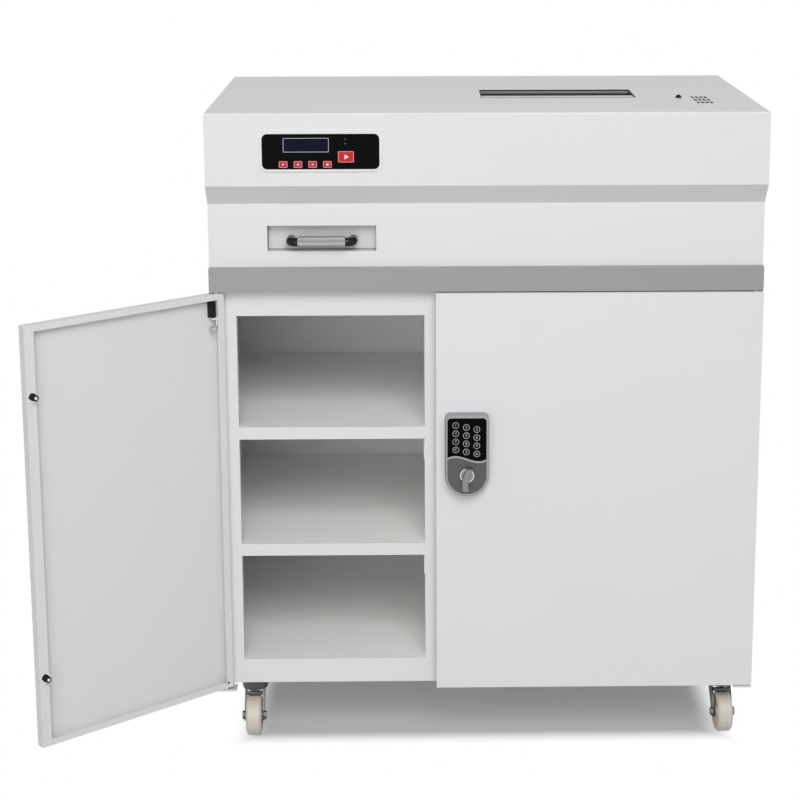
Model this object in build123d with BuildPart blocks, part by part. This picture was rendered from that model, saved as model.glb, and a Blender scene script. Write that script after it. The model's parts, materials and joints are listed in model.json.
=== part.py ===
from build123d import *
from math import acos, cos, pi, radians, sin, sqrt, tan
import os

# High-security shredder: a sheet-metal cabinet on castors with the cutting unit in its head.
# X runs to the right, the front faces -Y, Z is up. The origin is on the floor under the middle
# of the cabinet. All sizes are in millimetres.

# Overall
WIDTH = 800.0
DEPTH = 490.0
SHEET = 1.5
DECK_PLATE = 3.0

# Heights, stacked from the floor up
CASTOR_HEIGHT = 91.0
BASE_HEIGHT = 37.5
LOWER_BAY = 182.0
MIDDLE_BAY = 180.0
UPPER_BAY = 168.0
TOP_RAIL = 38.5
BAND_HEIGHT = 35.0
LOWER_HEAD = 92.5
STEP_RISE = 29.5
UPPER_HEAD = 104.0

# Setbacks behind the front of the head
STEP_SETBACK = 27.0
BAND_SETBACK = 15.0
DOOR_SETBACK = 10.5

# Cabinet folds
STILE_WIDTH = 37.0
STILE_RETURN = 18.0
REAR_FLANGE = 25.0
BAND_FLANGE = 28.0
LEFT_BAY = 273.0
POST_WIDTH = 30.0
SHELF_LIP = 18.5
SHELF_SKIRT = 55.0
HEAD_BEND = 2.5
LOUVRE_LENGTH = 46.0
LOUVRE_HEIGHT = 5.0
LOUVRE_PITCH = 14.0
LOUVRE_ROWS = 6

# Doors
DOOR_THICKNESS = 13.0
DOOR_CLEARANCE = 9.0
DOOR_HEAD_GAP = 1.6
DOOR_FOOT_GAP = 1.5
DOOR_MEETING_GAP = 3.0
DOOR_SIDE_LIP = 15.0
DOOR_HINGE_LIP = 11.0
DOOR_END_LIP = 9.0
LEFT_DOOR_OPEN = 140.0
PIVOT_INSET = 10.0
PIVOT_DEPTH = 8.3
PIVOT_RADIUS = 2.0
PIVOT_ENTRY = 8.0
BRACKET_PLATE = 3.0
BRACKET_WIDTH = 26.0
BRACKET_GRIP = 10.5
BUFFER_RADIUS = 5.5
BUFFER_TAPER = 8.0
BUFFER_FROM_EDGE = 9.5
BUFFER_GAP = 0.5
BUFFER_FROM_TOP = 99.0
BUFFER_FROM_FOOT = 102.0

# Spring pivot bolt of the left door
BOLT_TIP = 3.0
BOLT_COLLAR_RADIUS = 2.9
BOLT_COLLAR = 3.0
BOLT_GUIDE_DROP = 38.0
BOLT_TAIL = 14.0
BOLT_LEVER = 4.0
BOLT_LEVER_REACH = 12.0
BOLT_LEVER_RISE = 10.0

# Fits
RUNNING_FIT = 0.05
PRESS_FIT = 0.02
KEY_GAP = 0.3
SLIDE_GAP = 0.8

# Keypad lock on the right door
LOCK_FROM_EDGE = 44.5
LOCK_WIDTH = 64.0
LOCK_HEIGHT = 122.0
LOCK_DEPTH = 20.0
LOCK_FOOT_HEIGHT = 306.5
LOCK_TOP_CORNER = 7.0
LOCK_RIM = 3.5
LOCK_RECESS = 3.0
LOCK_WAVE_HEIGHT = 56.2
LOCK_WAVE_RISE = 4.0
LOCK_WAVE_REACH = 17.6
LOCK_WAVE_RIB = 2.8
KNOB_HEIGHT = 33.5
KNOB_RADIUS = 10.6
KNOB_BOSS = 5.0
LEVER_ABOVE = 11.0
LEVER_BELOW = 22.5
LEVER_SWAY = 3.0
LEVER_WIDTH = 9.5
LEVER_DEPTH = 9.0
LEVER_EDGE = 1.2
SPINDLE_RADIUS = 4.0
CAM_REACH = 45.0
CAM_WIDTH = 14.0
CAM_PLATE = 3.0
CAM_BEHIND_POST = 2.0
STRIKE_MARGIN = 5.0

# Control panel on the head
PANEL_FROM_SIDE = 164.3
PANEL_FROM_TOP = 54.5
PANEL_WIDTH = 172.5
PANEL_HEIGHT = 57.0
PANEL_CORNER = 11.0
PANEL_RIM = 3.3
PANEL_LEDGE = 12.0
BEZEL_PROUD = 2.5
BEZEL_OVERLAP = 1.0
BEZEL_FLANGE = 6.0
FACE_SUNK = 0.6
FACE_PLATE = 3.0
DISPLAY_WIDTH = 64.3
DISPLAY_HEIGHT = 20.1
DISPLAY_X = -20.7
DISPLAY_Z = 9.2
DISPLAY_SUNK = 0.8
KEY_WIDTH = 12.2
KEY_HEIGHT = 9.5
KEY_PITCH = 20.8
KEY_FIRST_X = -52.9
KEY_Z = -18.0
KEY_PROUD = 1.4
KEY_TRAVEL = 0.8
KEY_BODY = 6.0
START_WIDTH = 22.5
START_HEIGHT = 16.1
START_X = 35.7
START_Z = -7.4
BOARD_GAP = 5.0
BOARD_PLATE = 1.6
BOARD_MARGIN = 2.0

# Drawer in the lower head
DRAWER_FROM_SIDE = 162.8
DRAWER_FROM_BAND = 41.7
DRAWER_WIDTH = 156.5
DRAWER_HEIGHT = 37.2
DRAWER_BACK_GAP = 23.7
DRAWER_SUNK = 16.0
DRAWER_WALL = 1.2
HANDLE_SPAN = 90.0
HANDLE_DROP = 4.0
HANDLE_RADIUS = 6.5
HANDLE_STANDOFF = 24.0
HANDLE_BEND = 10.0
GRIP_LENGTH = 68.0
GRIP_RADIUS = 8.5
GRIP_EDGE = 0.8

# Feed opening, vents and reset button on top
FEED_X = 112.5
FEED_Y = -17.0
FEED_WIDTH = 232.0
FEED_DEPTH = 104.0
FEED_LEDGE = 40.0
CHUTE_FLANGE = 12.0
NIP_DEPTH = 48.0
CHUTE_GAP = 1.5
VENT_FROM_FEED = 94.0
VENT_Y = -100.0
VENT_PITCH_X = 6.4
VENT_PITCH_Y = 32.0
VENT_WIDTH = 4.4
VENT_LENGTH = 23.0
RESET_FROM_FEED = 63.0
RESET_Y = -73.0
RESET_RADIUS = 4.4
RESET_PROUD = 2.0
RESET_DOME = 2.5
RESET_COLLAR = 2.2
RESET_COLLAR_DEPTH = 4.0

# Cutting unit
CUTTER_ABOVE_DECK = 110.0
SHAFT_SPACING = 60.0
CUTTER_RADIUS = 38.0
TOOTH_DEPTH = 7.0
TOOTH_LEAD = 4.0
TOOTH_BACK_TURN = 33.0
TOOTH_BACK_RISE = 2.5
CORE_RADIUS = 20.0
DISC_COUNT = 12
DISC_GAP = 0.6
DISC_TEETH = 6
DISC_TWIST = 11.0
ROLL_END_GAP = 0.5
SIDE_PLATE = 8.0
PLATE_GAP = 2.0
PLATE_OVERHANG = 14.0
PLATE_ABOVE_SHAFT = 36.0
JOURNAL_RADIUS = 12.0
BEARING_RADIUS = 16.0
BEARING_FLANGE = 2.0
BEARING_FLANGE_RIM = 3.0
SHAFT_END_RADIUS = 10.0
COMB_HEIGHT = 18.0
COMB_BAR = 6.0
COMB_GAP = 1.0
GEAR_TEETH = 20
GEAR_WIDTH = 15.0
GEAR_GAP = 2.0
GEAR_BACKLASH = 0.35
PRESSURE_ANGLE = 20.0
COUPLING_RADIUS = 21.0
COUPLING_LENGTH = 42.0
COUPLING_GAP = 4.5
COUPLING_GRIP = 22.0
OUTPUT_RADIUS = 11.0
OUTPUT_LENGTH = 30.0
GEARBOX_LENGTH = 56.0
GEARBOX_SIZE = 104.0
GEARBOX_CORNER = 9.0
GEARBOX_FOOT = 84.0
MOTOR_RADIUS = 46.0
MOTOR_LENGTH = 170.0
COWL_RADIUS = 49.0
COWL_LENGTH = 34.0
COWL_EDGE = 8.0
FIN_HEIGHT = 4.0
FIN_COUNT = 12
FIN_WIDTH = 3.0

# Waste box
BIN_SIDE_GAP = 8.0
BIN_FRONT_GAP = 6.0
BIN_BACK_GAP = 20.0
BIN_TOP_GAP = 40.0
BIN_RIM = 6.0
RUNNER_WIDTH = 20.0
RUNNER_HEIGHT = 4.0
RUNNER_GUIDE = 14.0
RUNNER_PLATE = 3.0
BIN_HANDLE_SPAN = 110.0
BIN_HANDLE_RADIUS = 4.0
BIN_HANDLE_REACH = 18.0
BIN_HANDLE_DROP = 60.0

# Castors
CASTOR_INSET_LEFT = 49.0
CASTOR_INSET_RIGHT = 37.5
CASTOR_FROM_FRAME = 43.5
CASTOR_FROM_BACK = 46.0
CASTOR_PLATE_X = 70.0
CASTOR_PLATE_Y = 60.0
CASTOR_PLATE = 3.0
CASTOR_CORNER = 6.0
RACEWAY_RADIUS = 20.0
RACEWAY_HEIGHT = 17.0
KINGPIN_RADIUS = 5.0
KINGPIN_HEAD = 3.0
KINGPIN_HEAD_RADIUS = 8.0
SWIVEL_GAP = 0.5
CROWN_RADIUS = 19.0
CROWN_PLATE = 3.5
FORK_PLATE = 2.5
FORK_BOSS = 9.0
CASTOR_TRAIL = 25.0
WHEEL_RADIUS = 30.0
WHEEL_WIDTH = 22.4
WHEEL_EDGE = 3.0
WHEEL_RECESS = 2.0
WHEEL_RIM = 6.0
WHEEL_HUB = 9.0
WHEEL_GAP = 1.3
AXLE_RADIUS = 4.0
AXLE_HEAD = 3.2
AXLE_HEAD_RADIUS = 6.5
CASTOR_ANGLES = {"front_left": 0.0, "front_right": 3.0, "rear_left": -8.0, "rear_right": 6.0}

# Power inlet at the back of the head
INLET_FROM_SIDE = 100.0
INLET_FROM_BAND = 40.0
INLET_WIDTH = 48.0
INLET_HEIGHT = 30.0
INLET_BODY_WIDTH = 30.0
INLET_BODY_HEIGHT = 24.0
INLET_DEPTH = 24.0
INLET_FLANGE = 3.0
INLET_WALL = 3.0
INLET_PIN = 2.0
INLET_PIN_SPREAD = 7.0
INLET_PIN_RISE = 3.0
INLET_PIN_DROP = 2.0

# Levels and planes that follow from the sizes above
z_base = CASTOR_HEIGHT
z_floor = z_base + BASE_HEIGHT
z_lower_shelf = z_floor + LOWER_BAY
z_upper_shelf = z_lower_shelf + MIDDLE_BAY
z_deck = z_upper_shelf + UPPER_BAY
z_deck_top = z_deck + DECK_PLATE
z_band = z_deck + TOP_RAIL
z_head = z_band + BAND_HEIGHT
z_step_low = z_head + LOWER_HEAD
z_step_high = z_step_low + STEP_RISE
z_top = z_step_high + UPPER_HEAD
y_head = -DEPTH / 2
y_back = DEPTH / 2
y_lower = y_head + STEP_SETBACK
y_band = y_head + BAND_SETBACK
y_door = y_head + DOOR_SETBACK
y_door_inner = y_door + DOOR_THICKNESS
y_frame = y_door_inner + DOOR_CLEARANCE
y_tray_back = y_back - 2 * SHEET
x_side = WIDTH / 2
x_inner = x_side - SHEET
x_panel = -x_side + PANEL_FROM_SIDE
x_drawer = -x_side + DRAWER_FROM_SIDE
x_inlet = -x_side + INLET_FROM_SIDE
x_stile = x_side - STILE_WIDTH
x_post = -x_stile + LEFT_BAY
x_meeting = x_post + POST_WIDTH / 2
x_pivot = x_side - PIVOT_INSET
y_pivot = y_door + PIVOT_DEPTH
z_door = z_base - BRACKET_PLATE + DOOR_FOOT_GAP
door_height = z_band - DOOR_HEAD_GAP - z_door

os.makedirs("parts", exist_ok=True)


def save(piece, name):
    """Label a finished piece and write it as its own STEP file."""
    piece.part.label = name
    export_step(piece.part, f"parts/{name}.step")


def save_welded(sheets, name):
    """Write sheets that meet at welded seams as the separate solids of one piece."""
    solids = [solid for sheet in sheets for solid in sheet.part.solids()]
    export_step(Compound(solids, label=name), f"parts/{name}.step")


def rect(x, y, mode=Mode.ADD):
    """Add a rectangle given by its two limits along each sketch axis."""
    with Locations(((x[0] + x[1]) / 2, (y[0] + y[1]) / 2)):
        Rectangle(x[1] - x[0], y[1] - y[0], mode=mode)


def facing(y):
    """Plane at this y that faces the front, with X to the right and Z up."""
    return Plane.XZ.offset(-y)


def across(x, y, z):
    """Plane that faces +X with its origin on a shaft's axis, Y to the right and Z up."""
    return Plane(origin=(x, y, z), x_dir=(0, 1, 0), z_dir=(1, 0, 0))


# Plan of a sheet that fills the cabinet, notched round the folded front stiles
with BuildSketch() as bay_outline:
    rect((-x_inner, x_inner), (y_frame, y_tray_back))
    for side in (-1, 1):
        with Locations((side * (x_side - STILE_WIDTH / 2), y_frame + STILE_RETURN / 2)):
            Rectangle(STILE_WIDTH, STILE_RETURN, mode=Mode.SUBTRACT)


# Cabinet sheets
with BuildPart() as base_pan:
    with BuildSketch(Plane.XY.offset(z_base)):
        add(bay_outline.sketch)
    extrude(amount=SHEET)
    with BuildSketch(Plane.XY.offset(z_base)):
        rect((-x_stile, x_stile), (y_frame, y_frame + SHEET))
        rect((-x_inner, x_inner), (y_tray_back - SHEET, y_tray_back))
    extrude(amount=BASE_HEIGHT - SHEET)
save(base_pan, "base_pan")

with BuildPart() as floor_panel:
    with BuildSketch(Plane.XY.offset(z_floor - SHEET)):
        add(bay_outline.sketch)
    extrude(amount=SHEET)
save(floor_panel, "floor_panel")

for name, side in (("left_side_panel", -1), ("right_side_panel", 1)):
    with BuildPart() as side_panel:
        with BuildSketch(Plane.XY.offset(z_base)):
            limits = sorted((side * x_side, side * x_inner))
            rect(limits, (y_frame, y_back - SHEET))
            rect(sorted((side * x_side, side * x_stile)), (y_frame, y_frame + SHEET))
            lip = sorted((side * x_stile, side * (x_stile + SHEET)))
            rect(lip, (y_frame, y_frame + STILE_RETURN))
            flange = sorted((side * x_side, side * (x_side - REAR_FLANGE)))
            rect(flange, (y_tray_back, y_back - SHEET))
        extrude(amount=z_band - z_base)
    save(side_panel, name)

with BuildPart() as back_panel:
    with BuildSketch(facing(y_back)):
        rect((-x_side, x_side), (z_base, z_band))
    extrude(amount=SHEET)
save(back_panel, "back_panel")

# The lock sits on the right door; its strike is a slot in the return lip of the centre post
x_lock = x_meeting + DOOR_MEETING_GAP / 2 + LOCK_FROM_EDGE
z_lock = z_door + LOCK_FOOT_HEIGHT
z_knob = z_lock + KNOB_HEIGHT
x_post_lip = x_post + POST_WIDTH - SHEET
cam_to_lip = x_lock - x_post_lip - SHEET
cam_drop = sqrt(CAM_REACH ** 2 - cam_to_lip ** 2) + CAM_WIDTH / 2
y_cam = y_frame + SHEET + CAM_BEHIND_POST

with BuildPart() as centre_partition:
    with BuildSketch(Plane.XY.offset(z_floor)):
        rect((x_post, x_post + SHEET), (y_frame, y_back - SHEET))
        rect((x_post, x_post + POST_WIDTH), (y_frame, y_frame + SHEET))
        rect((x_post_lip, x_post_lip + SHEET), (y_frame, y_frame + STILE_RETURN))
        rect((x_post, x_post + REAR_FLANGE), (y_tray_back, y_back - SHEET))
    extrude(amount=z_deck - z_floor)
    with BuildSketch(Plane.YZ.offset(x_post_lip)):
        strike = (y_cam - STRIKE_MARGIN / 2, y_frame + STILE_RETURN)
        rect(strike, (z_knob - cam_drop - STRIKE_MARGIN, z_knob + CAM_WIDTH / 2 + STRIKE_MARGIN))
    extrude(amount=SHEET, mode=Mode.SUBTRACT)
save(centre_partition, "centre_partition")

# Cutting unit levels, needed for the discharge opening in the deck
z_cut = z_deck_top + CUTTER_ABOVE_DECK
y_front_shaft = FEED_Y - SHAFT_SPACING / 2
y_rear_shaft = FEED_Y + SHAFT_SPACING / 2
x_feed_left = FEED_X - FEED_WIDTH / 2
x_feed_right = FEED_X + FEED_WIDTH / 2
x_reset = x_feed_right + RESET_FROM_FEED
x_plate_left = x_feed_left - PLATE_GAP
x_plate_right = x_feed_right + PLATE_GAP
plate_half = SHAFT_SPACING / 2 + CUTTER_RADIUS + PLATE_OVERHANG

with BuildPart() as machine_deck:
    with BuildSketch(Plane.XY.offset(z_deck)):
        add(bay_outline.sketch)
        with Locations((FEED_X, FEED_Y)):
            Rectangle(FEED_WIDTH, SHAFT_SPACING + 2 * CUTTER_RADIUS, mode=Mode.SUBTRACT)
    extrude(amount=DECK_PLATE)
    with BuildSketch(Plane.XY.offset(z_deck)):
        rect((-x_stile, x_stile), (y_frame, y_frame + SHEET))
        rect((-x_inner, x_inner), (y_tray_back - SHEET, y_tray_back))
    extrude(amount=TOP_RAIL)
save(machine_deck, "machine_deck")

for name, level in (("lower_shelf", z_lower_shelf), ("upper_shelf", z_upper_shelf)):
    with BuildPart() as shelf:
        with BuildSketch(Plane.XY.offset(level)):
            rect((-x_inner, x_post), (y_frame, y_tray_back))
            rect((-x_inner, -x_stile), (y_frame, y_frame + STILE_RETURN), mode=Mode.SUBTRACT)
        extrude(amount=-SHEET)
        with BuildSketch(Plane.XY.offset(level)):
            rect((-x_stile, x_post), (y_frame, y_frame + SHEET))
        extrude(amount=-SHELF_LIP)
        with BuildSketch(Plane.XY.offset(level)):
            skirt = (y_frame + STILE_RETURN, y_tray_back)
            rect((-x_inner, -x_inner + SHEET), skirt)
            rect((x_post - SHEET, x_post), skirt)
        extrude(amount=-SHELF_SKIRT)
    save(shelf, name)

with BuildPart() as waist_band:
    with BuildSketch(Plane.XY.offset(z_band)):
        rect((-x_side, x_side), (y_band, y_back))
    extrude(amount=BAND_HEIGHT)
    with BuildSketch(Plane.XY.offset(z_band + SHEET)):
        rect((-x_inner, x_inner), (y_band + SHEET, y_back - SHEET))
    extrude(amount=BAND_HEIGHT - 2 * SHEET, mode=Mode.SUBTRACT)
    with BuildSketch(Plane.XY.offset(z_band)):
        inset = BAND_FLANGE
        rect((-x_side + inset, x_side - inset), (y_band + inset, y_back - inset))
    extrude(amount=BAND_HEIGHT, mode=Mode.SUBTRACT)
    with BuildSketch(Plane.XY.offset(z_band)):
        with Locations((-x_pivot, y_pivot)):
            Circle(PIVOT_RADIUS + RUNNING_FIT)
        with Locations((x_pivot, y_pivot)):
            Circle(PIVOT_RADIUS + PRESS_FIT)
    extrude(amount=SHEET, mode=Mode.SUBTRACT)
save(waist_band, "waist_band")

# Head: one folded casing with a step in its front, open underneath
z_panel = z_top - PANEL_FROM_TOP
z_drawer = z_head + DRAWER_FROM_BAND
z_inlet = z_head + INLET_FROM_BAND


def panel_outline(inset):
    """Add the control panel's rounded outline, drawn in by an inset."""
    with Locations((x_panel, z_panel)):
        RectangleRounded(PANEL_WIDTH - 2 * inset, PANEL_HEIGHT - 2 * inset, PANEL_CORNER - inset)


with BuildPart() as head_casing:
    with BuildSketch(Plane.YZ.offset(-x_side)):
        with BuildLine():
            Polyline(
                (y_lower, z_head),
                (y_lower, z_step_low),
                (y_head, z_step_high),
                (y_head, z_top),
                (y_back, z_top),
                (y_back, z_head),
                close=True,
            )
        make_face()
    extrude(amount=WIDTH)
    top_edges = faces().sort_by(Axis.Z)[-1].edges()
    fillet(top_edges, radius=HEAD_BEND)
    offset(amount=-SHEET, openings=faces().sort_by(Axis.Z)[0])
    with BuildSketch(Plane.XY.offset(z_top)):
        with Locations((FEED_X, FEED_Y)):
            Rectangle(FEED_WIDTH, FEED_DEPTH)
        with Locations((x_feed_right + VENT_FROM_FEED, VENT_Y)):
            with GridLocations(VENT_PITCH_X, VENT_PITCH_Y, 4, 3):
                SlotOverall(VENT_LENGTH, VENT_WIDTH, rotation=90)
        with Locations((x_reset, RESET_Y)):
            Circle(RESET_RADIUS + KEY_GAP)
    extrude(amount=-2 * SHEET, mode=Mode.SUBTRACT)
    with BuildSketch(facing(y_head)):
        panel_outline(BEZEL_OVERLAP)
    extrude(amount=-2 * SHEET, mode=Mode.SUBTRACT)
    with BuildSketch(facing(y_lower)):
        with Locations((x_drawer, z_drawer)):
            Rectangle(DRAWER_WIDTH, DRAWER_HEIGHT)
    extrude(amount=-2 * SHEET, mode=Mode.SUBTRACT)
    with BuildSketch(facing(y_back)):
        with Locations((x_inlet, z_inlet)):
            Rectangle(INLET_BODY_WIDTH, INLET_BODY_HEIGHT)
        with Locations((0, (z_head + z_top) / 2)):
            with GridLocations(2 * LOUVRE_LENGTH, LOUVRE_PITCH, 4, LOUVRE_ROWS):
                Rectangle(LOUVRE_LENGTH, LOUVRE_HEIGHT)
    extrude(amount=2 * SHEET, both=True, mode=Mode.SUBTRACT)
save(head_casing, "head_casing")

# Feed chute: a ledge in front, then a flanged funnel that leads down to the nip of the cutters
z_chute_top = z_top - SHEET
z_chute_foot = z_cut + CUTTER_RADIUS + CHUTE_GAP
y_mouth = FEED_Y + FEED_LEDGE / 2
mouth_depth = FEED_DEPTH - FEED_LEDGE

with BuildPart() as feed_chute:
    with BuildSketch(Plane.XY.offset(z_chute_top)):
        with Locations((FEED_X, FEED_Y)):
            Rectangle(FEED_WIDTH + 2 * CHUTE_FLANGE, FEED_DEPTH + 2 * CHUTE_FLANGE)
        with Locations((FEED_X, y_mouth)):
            Rectangle(FEED_WIDTH, mouth_depth, mode=Mode.SUBTRACT)
    extrude(amount=-SHEET)
    for wall, how in ((SHEET, Mode.ADD), (0.0, Mode.SUBTRACT)):
        with BuildSketch(Plane.XY.offset(z_chute_top)):
            with Locations((FEED_X, y_mouth)):
                Rectangle(FEED_WIDTH + 2 * wall, mouth_depth + 2 * wall)
        with BuildSketch(Plane.XY.offset(z_chute_foot)):
            with Locations((FEED_X, FEED_Y)):
                Rectangle(FEED_WIDTH + 2 * wall, NIP_DEPTH + 2 * wall)
        loft(mode=how)
save(feed_chute, "feed_chute")


# Cutting unit
def disc_outline(turn):
    """Points of one cutter disc: hooked teeth, each a steep face and a long back."""
    step = 360 / DISC_TEETH
    root = CUTTER_RADIUS - TOOTH_DEPTH
    marks = ((0, CUTTER_RADIUS), (TOOTH_LEAD, root), (TOOTH_BACK_TURN, root + TOOTH_BACK_RISE))
    points = []
    for tooth in range(DISC_TEETH):
        for ahead, radius in marks:
            angle = radians(turn + tooth * step + ahead)
            points.append((radius * cos(angle), radius * sin(angle)))
    return points


disc_pitch = FEED_WIDTH / DISC_COUNT
disc_thickness = disc_pitch / 2 - DISC_GAP
x_bearing_left = x_plate_left - SIDE_PLATE - BEARING_FLANGE
x_bearing_right = x_plate_right + SIDE_PLATE + BEARING_FLANGE
x_gear = x_bearing_right + GEAR_GAP
x_coupling = x_bearing_left - COUPLING_GAP
x_gearbox = x_coupling - COUPLING_LENGTH - COUPLING_GAP


def disc_start(row, index):
    """Left face of a disc; the discs of the two rolls take turns along the shafts."""
    return x_feed_left + DISC_GAP / 2 + (index + row / 2) * disc_pitch


def cutter_roll(row, y_shaft, x_end):
    """One cutting roll turned from a bar, with its discs, journals and shaft ends."""
    with BuildPart() as roll:
        with BuildSketch(across(x_plate_left + ROLL_END_GAP, y_shaft, z_cut)):
            Circle(CORE_RADIUS)
        extrude(amount=x_plate_right - x_plate_left - 2 * ROLL_END_GAP)
        with BuildSketch(across(x_bearing_left, y_shaft, z_cut)):
            Circle(JOURNAL_RADIUS)
        extrude(amount=x_bearing_right - x_bearing_left)
        with BuildSketch(across(x_end, y_shaft, z_cut)):
            Circle(SHAFT_END_RADIUS)
        extrude(amount=x_gear + GEAR_WIDTH - x_end)
        for index in range(DISC_COUNT):
            with BuildSketch(across(disc_start(row, index), y_shaft, z_cut)):
                with BuildLine():
                    Polyline(*disc_outline((1 - 2 * row) * index * DISC_TWIST), close=True)
                make_face()
            extrude(amount=disc_thickness)
    return roll


save(cutter_roll(0, y_front_shaft, x_bearing_left), "front_cutter")
save(cutter_roll(1, y_rear_shaft, x_coupling - COUPLING_GRIP + COUPLING_GAP), "rear_cutter")


def gear_outline(turn):
    """Points of an involute spur gear, thinned by half the backlash on each flank."""
    pitch = SHAFT_SPACING / 2
    module = SHAFT_SPACING / GEAR_TEETH
    base = pitch * cos(radians(PRESSURE_ANGLE))
    tip = pitch + module
    root = pitch - 1.25 * module
    half = pi / (2 * GEAR_TEETH) - GEAR_BACKLASH / (2 * pitch)
    half += tan(radians(PRESSURE_ANGLE)) - radians(PRESSURE_ANGLE)
    flank = [(root, half)]
    for step in range(4):
        radius = base + (tip - base) * step / 3
        roll = acos(base / radius)
        flank.append((radius, half - (tan(roll) - roll)))
    points = []
    for tooth in range(GEAR_TEETH):
        centre = radians(turn) + 2 * pi * tooth / GEAR_TEETH
        for radius, angle in [(r, -a) for r, a in flank] + flank[::-1]:
            points.append((radius * cos(centre + angle), radius * sin(centre + angle)))
    return points


for name, y_shaft, turn in (
    ("front_gear", y_front_shaft, 0.0),
    ("rear_gear", y_rear_shaft, 180.0 / GEAR_TEETH),
):
    with BuildPart() as gear:
        with BuildSketch(across(x_gear, y_shaft, z_cut)):
            with BuildLine():
                Polyline(*gear_outline(turn), close=True)
            make_face()
            Circle(SHAFT_END_RADIUS + PRESS_FIT, mode=Mode.SUBTRACT)
        extrude(amount=GEAR_WIDTH)
    save(gear, name)

with BuildPart() as cutter_side_plates:
    for x_inside in (x_plate_left - SIDE_PLATE, x_plate_right):
        with BuildSketch(Plane.YZ.offset(x_inside)):
            z_plate_top = z_cut + PLATE_ABOVE_SHAFT
            rect((FEED_Y - plate_half, FEED_Y + plate_half), (z_deck_top, z_plate_top))
            chamfer(vertices().group_by(Axis.Z)[-1], length=PLATE_OVERHANG)
            with Locations((y_front_shaft, z_cut), (y_rear_shaft, z_cut)):
                Circle(BEARING_RADIUS + PRESS_FIT, mode=Mode.SUBTRACT)
        extrude(amount=SIDE_PLATE)
save(cutter_side_plates, "cutter_side_plates")

with BuildPart() as shaft_bearings:
    for y_shaft in (y_front_shaft, y_rear_shaft):
        for x_start, x_flange in (
            (x_bearing_left, x_bearing_left),
            (x_plate_right, x_bearing_right - BEARING_FLANGE),
        ):
            with BuildSketch(across(x_start, y_shaft, z_cut)):
                Circle(BEARING_RADIUS)
                Circle(JOURNAL_RADIUS + RUNNING_FIT, mode=Mode.SUBTRACT)
            extrude(amount=SIDE_PLATE + BEARING_FLANGE)
            with BuildSketch(across(x_flange, y_shaft, z_cut)):
                Circle(BEARING_RADIUS + BEARING_FLANGE_RIM)
                Circle(JOURNAL_RADIUS + RUNNING_FIT, mode=Mode.SUBTRACT)
            extrude(amount=BEARING_FLANGE)
save(shaft_bearings, "shaft_bearings")

with BuildPart() as stripper_combs:
    for row, y_shaft, outward in ((0, y_front_shaft, -1), (1, y_rear_shaft, 1)):
        y_bar = y_shaft + outward * (CUTTER_RADIUS + COMB_GAP)
        y_finger = y_shaft + outward * (CORE_RADIUS + COMB_GAP)
        level = (z_cut - COMB_HEIGHT / 2, z_cut + COMB_HEIGHT / 2)
        with BuildSketch(Plane.YZ.offset(x_plate_left)):
            rect(sorted((y_bar, y_bar + outward * COMB_BAR)), level)
        extrude(amount=x_plate_right - x_plate_left)
        fingers = DISC_COUNT if row else DISC_COUNT - 1
        for index in range(fingers):
            x_finger = disc_start(1 - row, index)
            with BuildSketch(Plane.YZ.offset(x_finger)):
                rect(sorted((y_finger, y_bar)), level)
            extrude(amount=disc_thickness)
save(stripper_combs, "stripper_combs")

with BuildPart() as shaft_coupling:
    with BuildSketch(across(x_coupling, y_rear_shaft, z_cut)):
        Circle(COUPLING_RADIUS)
    extrude(amount=-COUPLING_LENGTH)
    hub_edges = edges().filter_by(GeomType.CIRCLE)
    chamfer(hub_edges, length=SHEET)
    with BuildSketch(across(x_coupling - COUPLING_LENGTH, y_rear_shaft, z_cut)):
        Circle(OUTPUT_RADIUS)
    extrude(amount=-OUTPUT_LENGTH)
    with BuildSketch(across(x_coupling, y_rear_shaft, z_cut)):
        Circle(SHAFT_END_RADIUS + PRESS_FIT)
    extrude(amount=-COUPLING_GRIP, mode=Mode.SUBTRACT)
save(shaft_coupling, "shaft_coupling")

with BuildPart() as gearbox:
    with BuildSketch(across(x_gearbox, y_rear_shaft, z_cut)):
        RectangleRounded(GEARBOX_SIZE, GEARBOX_SIZE, GEARBOX_CORNER)
    extrude(amount=-GEARBOX_LENGTH)
    with BuildSketch(Plane.YZ.offset(x_gearbox)):
        foot = (y_rear_shaft - GEARBOX_FOOT / 2, y_rear_shaft + GEARBOX_FOOT / 2)
        rect(foot, (z_deck_top, z_cut))
    extrude(amount=-GEARBOX_LENGTH)
    with BuildSketch(across(x_gearbox, y_rear_shaft, z_cut)):
        Circle(OUTPUT_RADIUS + RUNNING_FIT)
    extrude(amount=-OUTPUT_LENGTH, mode=Mode.SUBTRACT)
save(gearbox, "gearbox")

x_motor = x_gearbox - GEARBOX_LENGTH
with BuildPart() as drive_motor:
    with BuildSketch(across(x_motor, y_rear_shaft, z_cut)):
        Circle(MOTOR_RADIUS - FIN_HEIGHT)
        with PolarLocations(MOTOR_RADIUS - FIN_HEIGHT, FIN_COUNT):
            Rectangle(2 * FIN_HEIGHT, FIN_WIDTH)
    extrude(amount=-MOTOR_LENGTH)
    with BuildSketch(across(x_motor - MOTOR_LENGTH, y_rear_shaft, z_cut)):
        Circle(COWL_RADIUS)
    extrude(amount=-COWL_LENGTH)
    cowl_rim = edges().sort_by(Axis.X)[0]
    chamfer(cowl_rim, length=COWL_EDGE)
save(drive_motor, "drive_motor")

# Waste box on its runners in the right bay
x_bin = (x_post + POST_WIDTH + BIN_SIDE_GAP, x_stile - BIN_SIDE_GAP)
y_bin = (y_frame + STILE_RETURN + BIN_FRONT_GAP, y_tray_back - BIN_BACK_GAP)
z_bin = z_floor + RUNNER_HEIGHT
bin_height = z_deck - BIN_TOP_GAP - z_bin

x_bin_inside = (x_bin[0] + SHEET, x_bin[1] - SHEET)
y_bin_inside = (y_bin[0] + SHEET, y_bin[1] - SHEET)
z_rim = z_bin + bin_height - SHEET

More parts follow.
